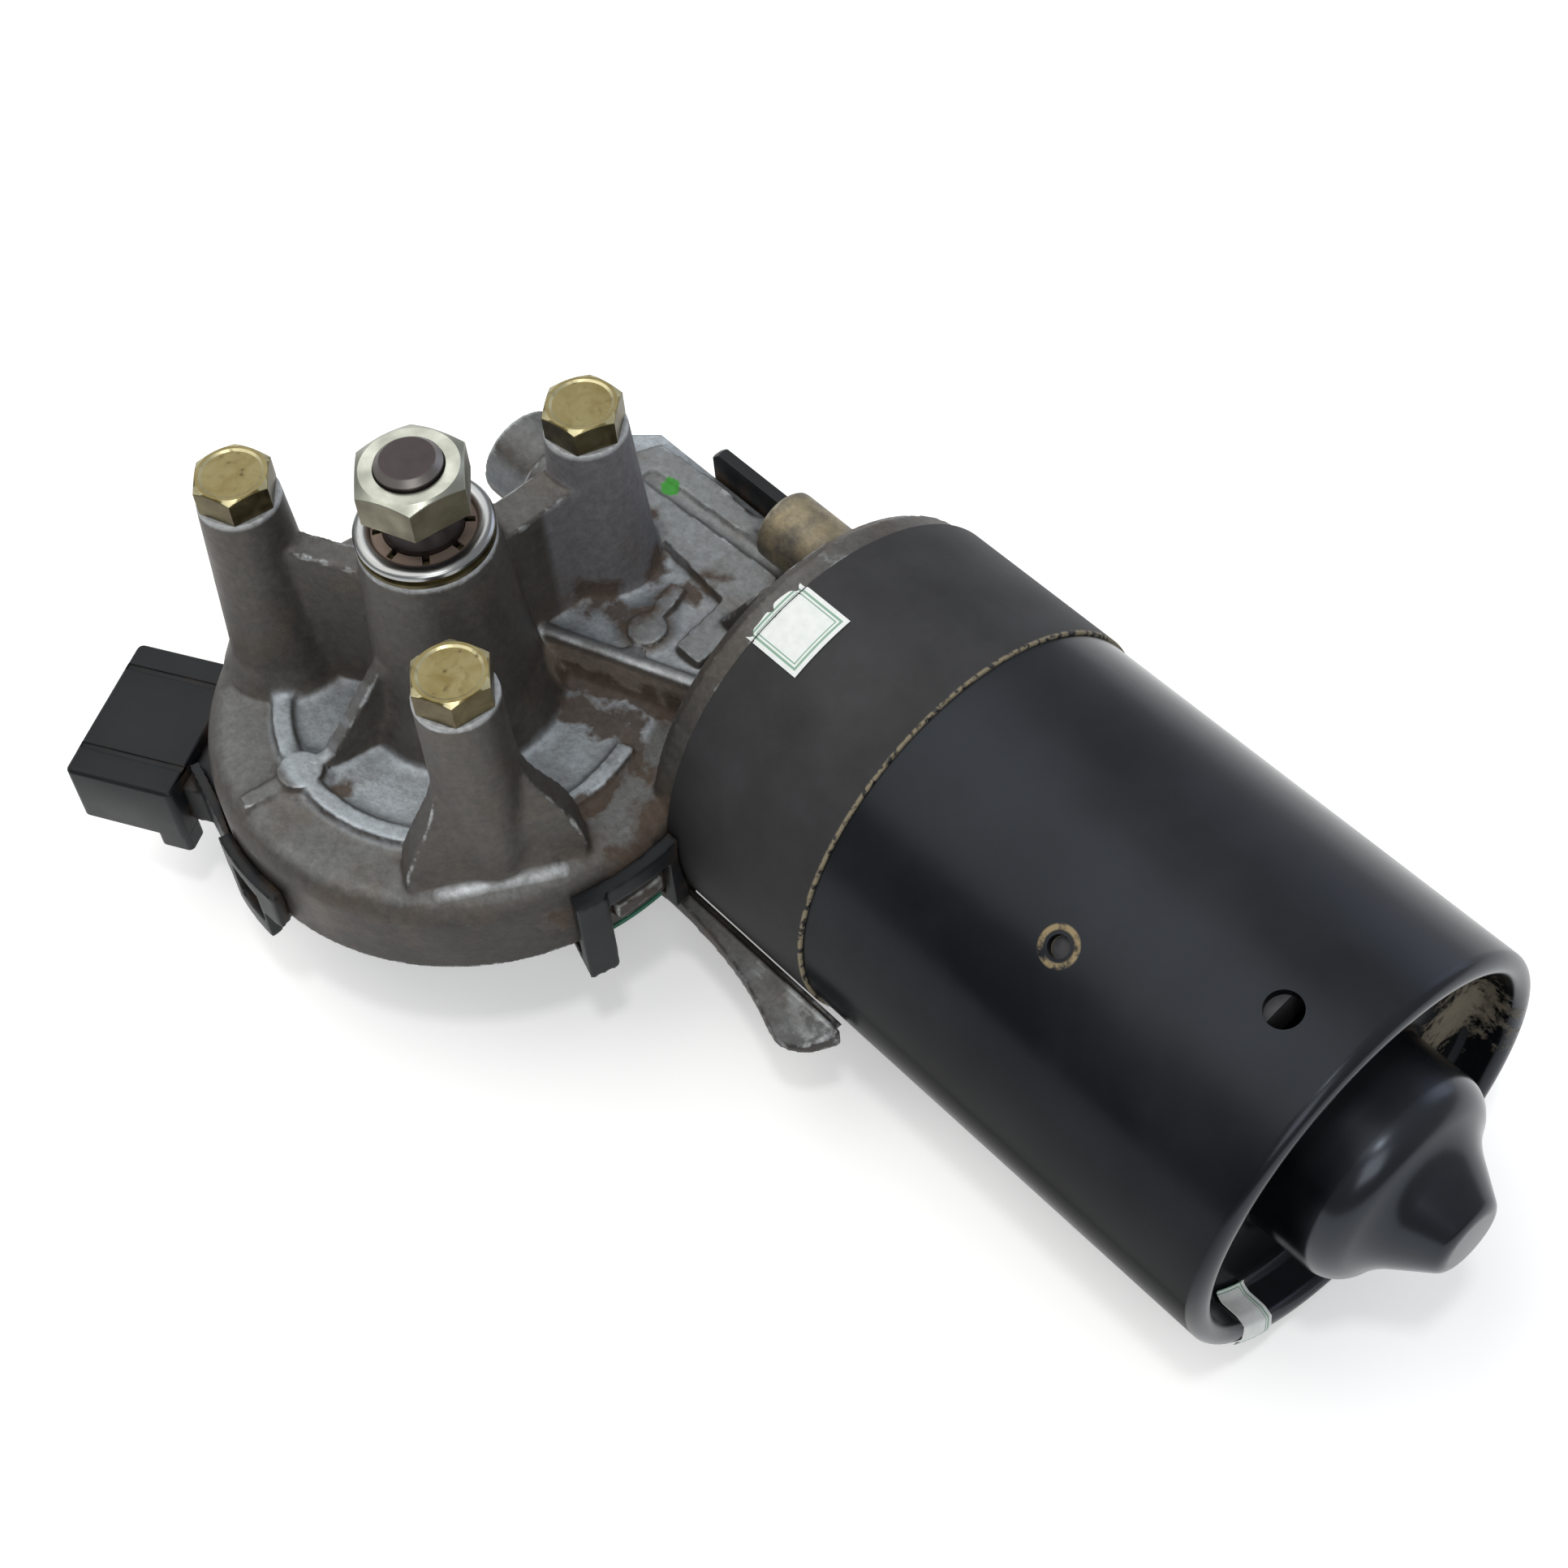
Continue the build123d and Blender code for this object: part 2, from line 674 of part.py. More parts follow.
def rear_clip():
    y0 = block_back_y + clip_gap
    x0, x1 = rear_clip_x
    hoop = block(x0, x1, y0, y0 + clip_t, cover_foot_z, rear_clip_top_z)
    hoop = chamfer(hoop.edges().filter_by(Axis.Y).group_by(Axis.Z)[-1], rear_clip_bevel)
    hoop -= block(x0 + 4, x1 - 4, y0 - 2, y0 + clip_t + 2, *rear_clip_z)
    shelf = block(x0, x1, y0 - shelf_reach - 1, y0 + 0.5, cover_foot_z, cover_foot_z + shelf_h)
    return hoop + shelf


def cover_fence(r0):
    # A straight wall that stands off the casting, with its foot on the pan
    (xa, ya), (xb, yb) = fence
    turn = degrees(atan2(yb - ya, xb - xa))
    length = sqrt((xb - xa) ** 2 + (yb - ya) ** 2)
    wall_part = block(0, length, 0, fence_t, cover_foot_z, fence_top_z)
    foot = block(0, length, 0, fence_foot_w, cover_foot_z, cover_foot_z + shelf_h)
    return Pos(xa, ya, 0) * Rot(0, 0, turn) * (wall_part + foot) - cyl_z(r0, cover_top_z, 0)


def in_socket(u0, u1, w0, w1, z0, z1):
    # A box in the connector's own turned directions: u along its length, w in and out of the cover
    return Rot(0, 0, socket_angle) * block(w0, w1, -u1, -u0, z0, z1)


def socket_neck():
    u0 = socket_side_u + 3
    u1 = socket_side_u + socket_len - 3
    neck = in_socket(u0, u1, socket_side_w, socket_side_w + 9, cover_foot_z, socket_top_z - 2)
    return neck - cyl_z(disc_r + clip_gap, cover_top_z, 0)


def gear_cover():
    # A pan hung from a thin rim under the gasket, ribbed below, with its hoops round the edge
    rim = extrude(Pos(0, 0, cover_top_z - rim_t) * plan(-rim_inset, cover_right_x), rim_t)
    pan = extrude(Pos(0, 0, cover_foot_z) * plan(-pan_inset, cover_right_x), cover_depth)
    body = pan + [rim] + cover_clips() + [socket_neck()] + cover_ribs()
    pocket_plan = plan(-pan_inset - cover_wall, cover_right_x - wall)
    pocket = extrude(Pos(0, 0, cover_floor_z) * pocket_plan, cover_depth)
    body = body - [pocket, can_room(), fin_room(), socket_room()]
    far = stiffener_reach
    half = stiffener_h
    stiffener = block(-far, far, -half, half, cover_floor_z - 0.5, cover_floor_z + stiffener_h)
    return body + stiffener


def cover_ribs():
    # The ring and spokes moulded under the pan
    z0 = cover_foot_z - cover_rib_h
    z1 = cover_foot_z + 0.5
    ring = tube_z(cover_hub_r - cover_rib_w, cover_hub_r, z0, z1)
    reach = disc_r - pan_inset - 2
    half = cover_rib_w / 2
    spoke = block(cover_hub_r - 0.5, reach, -half, half, z0, z1)
    return [ring] + [Rot(0, 0, 360 * i / cover_spokes + cover_spoke_turn) * spoke for i in range(cover_spokes)]


def fin_room():
    # Keeps the cover off the cast arm beside the can
    x0 = flange_face_x - flange_band_t - 0.6
    return block(x0, fin_tip[0] + 2, -2, 20, fin_top_z - fin_t - 2, fin_top_z + cover_clear)


def socket_room():
    # The space that the connector takes up beside the cover
    u0 = socket_side_u
    w1 = socket_side_w
    return in_socket(u0 - 0.3, u0 + socket_len + 0.3, w1 - socket_depth, w1, cover_foot_z - 8, socket_top_z + 2)


def connector_housing():
    # A socket for a flat plug, its mouth facing away from the cover
    u0 = socket_side_u
    u1 = u0 + socket_len
    w1 = socket_side_w
    w0 = w1 - socket_depth
    z1 = socket_top_z
    z0 = z1 - socket_h
    shell = in_socket(u0, u1, w0, w1, z0, z1)
    shell = fillet(shell.edges().filter_by(Axis.Z), 1.2)
    shell = chamfer(shell.faces().sort_by(Axis.Z)[-1].edges(), 0.5)
    s = socket_wall
    mouth = in_socket(u0 + s, u1 - s, w0 - 1, w1 - socket_back, z0 + s, z1 - s)
    bands = [in_socket(u, u + 1.0, w0 - 1, w1 + 1, z1 - 0.35, z1 + 1) for u in (u0 + 4.5, u1 - 6)]
    latch = in_socket(u0 + 9.5, u1 - 9.5, w0 + 1.5, w0 + 4.5, z0 - 1.2, z0 + 0.5)
    tab = in_socket(u1 - 5, u1 - 0.5, w1 - 6, w1 - 0.2, z0 - 4, z0 + 0.5)
    tab = fillet(tab.edges().filter_by(Axis.Z), 1.0)
    body = (shell + [latch, tab]) - [mouth] - bands
    slots = []
    half_w = pin_w / 2 + press
    half_h = pin_h / 2 + press
    for u in pin_places():
        z = pin_z()
        slots.append(in_socket(u - half_w, u + half_w, w1 - socket_back - 1, w1 + 1, z - half_h, z + half_h))
    return body - slots


def pin_places():
    pitch = (socket_len - 2 * socket_wall) / pin_count
    first = socket_side_u + socket_wall + pitch / 2
    return [first + pitch * i for i in range(pin_count)]


def pin_z():
    return socket_top_z - socket_h / 2


def connector_pins():
    tip_w = socket_side_w - socket_back - pin_len
    z0 = pin_z() - pin_h / 2
    z1 = pin_z() + pin_h / 2
    return [in_socket(u - pin_w / 2, u + pin_w / 2, tip_w, socket_side_w, z0, z1) for u in pin_places()]


def contact_plate():
    # The moulded plate on the cover's floor that carries the park switch contacts
    z0 = cover_floor_z + stiffener_h
    return block(*contact_plate_x, -contact_plate_w / 2, contact_plate_w / 2, z0, z0 + contact_plate_t)


def contact_springs():
    # Three thin strips that reach up to the park disc, each on its own track
    z0 = cover_floor_z + stiffener_h + contact_plate_t
    z1 = wheel_foot_z - park_t - contact_gap
    far = contact_len / 2
    bend = far - 4 * contact_w / 3
    tip = bend + 2 * contact_w / 3
    side = Polyline(
        (-far, z0), (-bend, z0), (bend, z1 - contact_t), (tip, z1 - contact_t), (tip, z1),
        (bend - contact_t, z1), (-bend - contact_t, z0 + contact_t), (-far, z0 + contact_t), close=True,
    )
    strip = extrude(make_face(Plane.YZ * side), contact_w / 2, both=True)
    return [Pos(-r, 0, 0) * strip for r in contact_tracks]


# Output shaft and wheel


def output_shaft():
    groove_top = wheel_foot_z - park_t
    body = turned_z([
        (0, shaft_foot_z), (shaft_r - 0.6, shaft_foot_z), (shaft_r, shaft_foot_z + 0.6),
        (shaft_r, groove_top - circlip_t), (shaft_r - circlip_groove, groove_top - circlip_t),
        (shaft_r - circlip_groove, groove_top), (shaft_r, groove_top),
        (shaft_r, nut_foot_z - 2.2), (thread_r + 0.3, nut_foot_z), (thread_r, nut_foot_z),
        (thread_r, free_end_z - neck_w), (neck_r, free_end_z - neck_w),
        (neck_r, free_end_z), (thread_r, free_end_z),
        (thread_r, shaft_top_z - shaft_top_bevel), (thread_r - shaft_top_bevel, shaft_top_z), (0, shaft_top_z),
    ])
    return body


def wheel_tooth():
    # One straight flanked tooth, leaning with the worm's lead, built on +Y
    half = wheel_tooth_w / 2
    t = tan(radians(flank_angle))
    r0 = wheel_root_r - 0.6
    w0 = half + (wheel_pitch_r - r0) * t * 0.8
    w1 = half - addendum * t
    face = make_face(Polyline((-w0, r0), (w0, r0), (w1, wheel_tip_r), (-w1, wheel_tip_r), close=True))
    lean = Vector(-lead_slope, 0, 1)
    start = Pos(lead_slope * wheel_face_w / 2, 0, wheel_foot_z) * face
    return extrude(start, wheel_face_w * lean.length, dir=lean)


def worm_wheel():
    # Moulded wheel: toothed rim, ribbed web and hub, flat underneath where the park disc sits
    rim = cyl_z(wheel_root_r, wheel_foot_z, wheel_top_z)
    hollow = tube_z(hub_r + 3.5, wheel_root_r - 3.4, wheel_foot_z + 2.6, wheel_top_z + 1)
    body = rim - hollow
    rib = block(hub_r + 2, wheel_root_r - 3, -0.9, 0.9, wheel_foot_z + 1, wheel_top_z - 0.8)
    ribs = [Rot(0, 0, 60 * i + 20) * rib for i in range(6)]
    pitch = 360 / wheel_teeth
    tooth = wheel_tooth()
    teeth = [Rot(0, 0, pitch * (i + 0.5)) * tooth for i in range(wheel_teeth)]
    body = body + (ribs + teeth)
    return body - cyl_z(hub_r + press, wheel_foot_z - 1, wheel_top_z + 1)


def wheel_hub():
    # The steel insert that the wheel is moulded on, pressed on the shaft
    return tube_z(shaft_r + press, hub_r, wheel_foot_z - park_t, chamber_top_z - 0.3)


def park_disc():
    # The thin brass disc under the wheel, with the gap that stops the motor at park
    disc = tube_z(hub_r + 2.5, park_disc_r, wheel_foot_z - park_t, wheel_foot_z)
    return disc - arc_wall(*park_gap_r, *park_gap_arc, wheel_foot_z - park_t - 1, wheel_foot_z + 1)


def circlip():
    z1 = wheel_foot_z - park_t
    ring = tube_z(shaft_r - circlip_groove + press, circlip_r, z1 - circlip_t, z1)
    gap = block(0, circlip_r + 1, -1.6, 1.6, z1 - circlip_t - 1, z1 + 1)
    return ring - gap


def star_lock_washer():
    # A pressed ring with a bright rolled rim and sprung teeth that grip the shaft
    z0 = 2 * washer_t
    body = turned_z([
        (shaft_r + 0.1, z0 + 0.9), (shaft_r + 0.1, z0 + 0.4), (lock_rim_r - 2.2, z0),
        (lock_rim_r - 0.4, z0), (lock_rim_r, z0 + 0.5), (lock_rim_r, z0 + lock_rim_h - 0.4),
        (lock_rim_r - 0.4, z0 + lock_rim_h), (lock_rim_r - 1.3, z0 + lock_rim_h),
        (lock_rim_r - 1.7, z0 + 0.6),
    ])
    slots = [Rot(0, 0, 45 * i + 10) * block(shaft_r - 1, lock_rim_r - 2.4, -0.55, 0.55, 0, 5) for i in range(8)]
    return body - slots


def hex_head(af, h, bevel):
    # A hexagon standing on z = 0 with its top corners turned off
    prism_part = extrude(RegularPolygon(af / 2, 6, major_radius=False), h)
    r_corner = af / sqrt(3) + 0.01
    r_face = af / 2 - 0.15
    drop = (r_corner - r_face) * tan(radians(bevel))
    turned = turned_z([(0, 0), (r_corner, 0), (r_corner, h - drop), (r_face, h), (0, h)])
    return prism_part & turned


def shaft_nut():
    nut = hex_head(nut_af, nut_h, 30)
    bore = cyl_z(thread_r + press, -1, nut_h + 1)
    lead_in = Pos(0, 0, nut_h - 0.5) * Cone(thread_r - 0.4, thread_r + 0.8, 1.2)
    return Pos(0, 0, nut_foot_z) * (Rot(0, 0, nut_turn) * (nut - [bore, lead_in]))


def mounting_bolts():
    bolts = []
    for angle, turn in zip(boss_angles, bolt_head_turns):
        head = Rot(0, 0, turn) * hex_head(bolt_hex_af, bolt_head_h, 30)
        bolts.append(at_boss(angle) * (head + cyl_z(bolt_shank_r, -bolt_length, 0.5)))
    return bolts


def spindle_bushes():
    z_seal = -seal_h - 0.6
    upper = tube_z(shaft_r + running, bush_r, z_seal - bush_upper_len, z_seal)
    lower = tube_z(shaft_r + running, bush_r, chamber_top_z, chamber_top_z + bush_lower_len)
    return [upper, lower]


def spindle_seal():
    return tube_z(shaft_r + running, bush_r, -seal_h - 0.6, -0.6)


def spindle_washers():
    lower = tube_z(shaft_r + 0.3, washer_r, 0, washer_t)
    upper = tube_z(shaft_r + 0.3, washer_r - 0.7, washer_t, 2 * washer_t)
    return [lower, upper]


# Armature


def armature_shaft():
    # The steel shaft with the worm rolled near its free end
    half = worm_len / 2
    core = turned_x([
        (rotor_left_x, 0), (rotor_left_x, rotor_shaft_r - 0.6), (rotor_left_x + 0.6, rotor_shaft_r),
        (-half - 1.5, rotor_shaft_r), (-half, worm_root_r), (half, worm_root_r), (half + 1.5, rotor_shaft_r),
        (rotor_right_x - 0.6, rotor_shaft_r), (rotor_right_x, rotor_shaft_r - 0.6), (rotor_right_x, 0),
    ])
    return core + worm_thread()


def worm_thread():
    # One right hand thread, straight flanked along the axis
    t = tan(radians(flank_angle))
    r0 = worm_root_r - 0.35
    w0 = worm_thread_w / 2 + (worm_pitch_r - r0) * t
    w1 = worm_thread_w / 2 - addendum * t
    height = worm_len - 2 * w0 - 0.2
    path = Helix(lead, height, worm_pitch_r)
    section = Polyline((r0, 0, -w0), (worm_tip_r, 0, -w1), (worm_tip_r, 0, w1), (r0, 0, w0), close=True)
    thread = sweep(make_face(section), path=path, is_frenet=True)
    # Turned so that the thread stands in the wheel's tooth gap at x = 0
    turn = 360 * (0.75 - height / (2 * lead))
    return Pos(-height / 2, axis_y, axis_z) * Rot(turn, 0, 0) * Rot(0, 90, 0) * thread


def core_profile():
    # One lamination with its slots, lying in the plane across the shaft
    outline = Circle(core_r)
    slot = Pos(slot_mid_r, 0) * Rectangle(slot_depth, slot_w)
    mouth = Pos(core_r - 1, 0) * Rectangle(4, slot_mouth_w)
    for i in range(core_slots):
        turn = Rot(0, 0, 360 / core_slots * i)
        outline = outline - turn * slot - turn * mouth
    return outline


def across_x(sketch, x0, x1):
    # A sketch pushed along the armature's axis
    return Pos(x0, axis_y, axis_z) * Rot(0, 90, 0) * extrude(sketch, x1 - x0)


def armature_core():
    return across_x(core_profile() - Circle(rotor_shaft_r + press), *core_x)


def armature_windings():
    # End turns at both ends, joined through the slots
    x0, x1 = core_x
    r0 = rotor_shaft_r + 2.5
    r1 = core_r - 2.6
    ends = []
    for x, out in ((x0, -1), (x1, 1)):
        far = x + out * coil_x_reach
        ends.append(turned_x([(x, r0), (far, r0 + 2), (far, r1 - 4), (far - out * 3, r1 - 0.6), (x, r1)]))
    bar = Pos(slot_mid_r, 0) * Rectangle(slot_depth - 2 * slot_liner, slot_w - 2 * slot_liner)
    bars = [across_x(Rot(0, 0, 360 / core_slots * i) * bar, x0 - 1, x1 + 1) for i in range(core_slots)]
    return ends[0] + ([ends[1]] + bars)


def commutator():
    x0, x1 = comm_x
    drum = turned_x([
        (x0, rotor_shaft_r + press), (x0, comm_r), (x1, comm_r), (x1, comm_r + 1.6),
        (x1 + 2, comm_r + 1.6), (x1 + 2, rotor_shaft_r + press),
    ])
    grooves = []
    for i in range(comm_bars):
        cut = Pos((x0 + x1) / 2, comm_r, 0) * Box(x1 - x0 + 8, 2 * comm_groove_h, comm_groove_w)
        grooves.append(around_rotor(360 / comm_bars * i) * cut)
    return drum - grooves


# Motor can and what it holds


def dome_points(t):
    # The domed bearing cup on the can's end, moved inwards by the wall t
    c1 = (dome_straight_x, dome_r - dome_shoulder_r)
    a1 = radians(dome_shoulder_angle)
    a2 = radians(90 - dome_nose_angle)
    r1 = dome_shoulder_r - t
    r2 = dome_neck_r + t
    p0 = (c1[0], c1[1] + r1)
    p1 = (c1[0] + r1 * cos(a1), c1[1] + r1 * sin(a1))
    mid1 = (c1[0] + r1 * cos((a1 + pi / 2) / 2), c1[1] + r1 * sin((a1 + pi / 2) / 2))
    c2 = (c1[0] + (dome_shoulder_r + dome_neck_r) * cos(a1), c1[1] + (dome_shoulder_r + dome_neck_r) * sin(a1))
    p2 = (c2[0] - r2 * cos(a2), c2[1] - r2 * sin(a2))
    am = (a1 + a2) / 2
    mid2 = (c2[0] - r2 * cos(am), c2[1] - r2 * sin(am))
    fall = radians(dome_nose_angle)
    outer2 = (c2[0] - dome_neck_r * cos(a2), c2[1] - dome_neck_r * sin(a2))
    run = (dome_nose_x - outer2[0]) / cos(fall)
    nose = (outer2[0] + run * cos(fall), outer2[1] - run * sin(fall))
    c3 = (nose[0] - dome_nose_r * sin(fall), nose[1] - dome_nose_r * cos(fall))
    r3 = dome_nose_r - t
    a3 = pi / 2 - fall
    p3 = (c3[0] + r3 * cos(a3), c3[1] + r3 * sin(a3))
    mid3 = (c3[0] + r3 * cos(a3 / 2), c3[1] + r3 * sin(a3 / 2))
    p4 = (c3[0] + r3, c3[1])
    return p0, mid1, p1, mid2, p2, p3, mid3, p4


def can_shell():
    # The deep drawn can: its rim is folded back into a ring shaped recess around the bearing dome
    o = dome_points(0)
    i = dome_points(can_wall)
    x0 = flange_face_x
    e = can_edge_r
    b = can_edge_r - rim_round_gap
    k = recess_corner_r
    rim_r = can_r - can_rim_w
    floor_in = recess_floor_x - can_wall
    s = sqrt(0.5)
    outer_end = (can_end_x, can_r - e)
    edges = [
        Line((x0, can_bore_r), (x0, can_r)),
        Line((x0, can_r), (can_end_x - e, can_r)),
        ThreePointArc((can_end_x - e, can_r), (can_end_x - e + e * s, can_r - e + e * s), outer_end),
        ThreePointArc(outer_end, (can_end_x - (1 - s) * b, rim_r + (1 - s) * b), (can_end_x - b, rim_r)),
        Line((can_end_x - b, rim_r), (recess_floor_x + k, rim_r)),
        ThreePointArc((recess_floor_x + k, rim_r), (recess_floor_x + k - k * s, rim_r - k + k * s),
                      (recess_floor_x, rim_r - k)),
        Line((recess_floor_x, rim_r - k), (recess_floor_x, dome_r + k)),
        ThreePointArc((recess_floor_x, dome_r + k), (recess_floor_x + k - k * s, dome_r + k - k * s),
                      (recess_floor_x + k, dome_r)),
        Line((recess_floor_x + k, dome_r), o[0]),
        ThreePointArc(o[0], o[1], o[2]), ThreePointArc(o[2], o[3], o[4]), Line(o[4], o[5]),
        ThreePointArc(o[5], o[6], o[7]), Line(o[7], (o[7][0], 0)), Line((o[7][0], 0), (i[7][0], 0)),
        Line((i[7][0], 0), i[7]), ThreePointArc(i[7], i[6], i[5]), Line(i[5], i[4]),
        ThreePointArc(i[4], i[3], i[2]), ThreePointArc(i[2], i[1], i[0]),
        Line(i[0], (floor_in, dome_r - can_wall)), Line((floor_in, dome_r - can_wall), (floor_in, can_bore_r)),
        Line((floor_in, can_bore_r), (x0, can_bore_r)),
    ]
    return rotor_axis * revolve(make_face(edges), Axis.X)


def hole_in_can(x, angle, r):
    return around_rotor(angle) * (Pos(x, can_r, 0) * Rot(90, 0, 0) * Cylinder(r, 3 * can_wall))


def motor_can():
    return can_shell() - [hole_in_can(*vent_hole), hole_in_can(*rivet_hole)]


def can_sleeve():
    # The thick flux ring pushed over the open end of the can
    return tube_x(can_r + press, sleeve_r, flange_face_x, sleeve_end_x)


def can_screws():
    # Hexagon screws from the housing side, through the lugs and into the brush plate
    head_x = flange_face_x - flange_t - lug_len
    end_x = flange_face_x + 4
    screws = []
    for angle in lug_angles:
        head = Pos(head_x, lug_circle_r, 0) * Rot(0, -90, 0) * hex_head(screw_af, screw_head_h, 30)
        shank = Pos((head_x + end_x) / 2, lug_circle_r, 0) * along_x * Cylinder(screw_r, end_x - head_x)
        screws.append(around_rotor(angle) * (head + shank))
    return screws


def magnet_section(r0, r1, shorter=0):
    # The lengthwise section of something that lies against the can's wall
    x0, x1 = magnet_x
    return Pos((x0 + x1) / 2, (r0 + r1) / 2) * Rectangle(x1 - x0 - shorter, r1 - r0)


def pole_magnets():
    # Two ferrite shells against the can's wall
    shell = revolve(magnet_section(magnet_bore_r, can_bore_r - press), Axis.X, magnet_arc)
    return [around_rotor(a - magnet_arc / 2) * shell for a in magnet_angles]


def magnet_clips():
    # Two sprung strips that hold the magnets apart
    span = 180 - magnet_arc - 2 * magnet_side_gap
    outer = can_bore_r - press
    strip = revolve(magnet_section(outer - magnet_clip_t, outer, 6), Axis.X, span)
    return [around_rotor(a + 90 - span / 2) * strip for a in magnet_angles]


def brush_plate():
    x0, x1 = brush_plate_x
    plate = tube_x(comm_r + 3, can_bore_r - 0.3, x0, x1)
    holes = []
    for angle in lug_angles:
        hole = Pos(x0, lug_circle_r, 0) * along_x * Cylinder(screw_r + press, 10)
        holes.append(around_rotor(angle) * hole)
    return plate - holes


def brush_mid_x():
    return brush_plate_x[1] + holder_wall + brush_t / 2


def radial_box(angle, r0, r1, x0, x1, w):
    return around_rotor(angle) * (Pos((x0 + x1) / 2, (r0 + r1) / 2, 0) * Box(x1 - x0, r1 - r0, w))


def carbon_brushes():
    x0 = brush_mid_x() - brush_t / 2
    r0 = comm_r + brush_gap
    return [radial_box(a, r0, r0 + brush_len, x0, x0 + brush_t, brush_w) for a in brush_angles]


def brush_holders():
    x = brush_mid_x()
    half = brush_t / 2 + press
    r0 = comm_r + 2.2
    r1 = comm_r + brush_gap + brush_len - 0.5
    x0 = x - half - holder_wall + press
    x1 = x + half + holder_wall
    holders = []
    for a in brush_angles:
        outer = radial_box(a, r0, r1, x0, x1, brush_w + 2 * holder_wall)
        inner = radial_box(a, r0 - 1, r1 + 1, x - half, x + half, brush_w + 2 * press)
        holders.append(outer - inner)
    return holders


def brush_springs():
    # A leaf on the plate behind each holder, pressing the brush inwards
    x = brush_mid_x()
    r0 = comm_r + brush_gap + brush_len
    r1 = r0 + 2.6
    springs = []
    for a in brush_angles:
        foot = radial_box(a, r1, r1 + spring_t, brush_plate_x[1], x + 1.5, spring_w)
        leaf = radial_box(a, r0 + 0.05, r1, x - 1.5, x + 1.5, spring_w)
        springs.append(foot + leaf)
    return springs


def suppression_chokes():
    # Two small wound coils that stand on the brush plate
    x = brush_plate_x[1] + choke_len / 2
    coil = Pos(x, choke_circle_r, 0) * along_x * Cylinder(choke_r, choke_len)
    return [around_rotor(a) * coil for a in choke_angles]


def tunnel_bush():
    x0, x1 = tunnel_bush_x()
    return tube_x(rotor_shaft_r + running, tunnel_bush_r, x0, x1)


def middle_bearing():
    ring = tube_x(rotor_shaft_r + running, bearing_r, bearing_x, bearing_x + bearing_w)
    race = tube_x(rotor_shaft_r + 2.4, bearing_r - 2, bearing_x + bearing_w - 0.5, bearing_x + bearing_w + 1)
    return ring - race


def thrust_screw():
    # A slotted plug in the tunnel's end that sets the armature's end play
    x1 = rotor_left_x - 0.1
    x0 = tunnel_left_x + 0.8
    slot = block(x0 - 1, x0 + 1.2, axis_y - tunnel_bush_r, axis_y + tunnel_bush_r, axis_z - 0.6, axis_z + 0.6)
    return cyl_x(tunnel_bush_r, x0, x1) - slot


def rear_bush():
    # A self aligning bush, round outside, in the can's dome
    x0, x1 = rear_bush_x
    xm = (x0 + x1) / 2
    r_in = rotor_shaft_r + running
    r_end = sqrt(rear_bush_r ** 2 - (x1 - xm) ** 2)
    edges = [
        Line((x0, r_in), (x0, r_end)), ThreePointArc((x0, r_end), (xm, rear_bush_r), (x1, r_end)),
        Line((x1, r_end), (x1, r_in)), Line((x1, r_in), (x0, r_in)),
    ]
    return rotor_axis * revolve(make_face(edges), Axis.X)


def rear_bush_clip():
    # The sprung steel plate that holds the bush in the dome
    xm = (rear_bush_x[0] + rear_bush_x[1]) / 2
    half = rear_clip_w / 2
    r_ball = rear_bush_r + press
    r_end = sqrt(r_ball ** 2 - half ** 2)
    r_out = dome_r - can_wall - press
    x0 = xm - half
    x1 = xm + half
    edges = [
        ThreePointArc((x0, r_end), (xm, r_ball), (x1, r_end)), Line((x1, r_end), (x1, r_out)),
        Line((x1, r_out), (x0, r_out)), Line((x0, r_out), (x0, r_end)),
    ]
    return rotor_axis * revolve(make_face(edges), Axis.X)


def thrust_plug():
    # The plastic button in the nose of the dome that takes the shaft's end
    i = dome_points(can_wall + press)
    x0 = rotor_right_x + 0.1
    edges = [
        Line((x0, 0), (x0, i[4][1] - 1.5)), Line((x0, i[4][1] - 1.5), (i[4][0], i[4][1] - 1.5)),
        Line((i[4][0], i[4][1] - 1.5), i[4]), Line(i[4], i[5]), ThreePointArc(i[5], i[6], i[7]),
        Line(i[7], (i[7][0], 0)), Line((i[7][0], 0), (x0, 0)),
    ]
    return rotor_axis * revolve(make_face(edges), Axis.X)


nodes = {
    "gear_housing": gear_housing,
    "gear_cover": gear_cover,
    "cover_seal": cover_seal,
    "connector_housing": connector_housing,
    "connector_pins": connector_pins,
    "contact_plate": contact_plate,
    "contact_springs": contact_springs,
    "mounting_bolts": mounting_bolts,
    "spindle_bushes": spindle_bushes,
    "spindle_seal": spindle_seal,
    "spindle_washers": spindle_washers,
    "output_shaft": output_shaft,
    "worm_wheel": worm_wheel,
    "wheel_hub": wheel_hub,
    "park_disc": park_disc,
    "circlip": circlip,
    "star_lock_washer": star_lock_washer,
    "shaft_nut": shaft_nut,
    "armature_shaft": armature_shaft,
    "armature_core": armature_core,
    "armature_windings": armature_windings,
    "commutator": commutator,
    "motor_can": motor_can,
    "can_sleeve": can_sleeve,
    "can_screws": can_screws,
    "pole_magnets": pole_magnets,
    "magnet_clips": magnet_clips,
    "brush_plate": brush_plate,
    "brush_holders": brush_holders,
    "carbon_brushes": carbon_brushes,
    "brush_springs": brush_springs,
    "suppression_chokes": suppression_chokes,
    "tunnel_bush": tunnel_bush,
    "middle_bearing": middle_bearing,
    "thrust_screw": thrust_screw,
    "rear_bush": rear_bush,
    "rear_bush_clip": rear_bush_clip,
    "thrust_plug": thrust_plug,
}

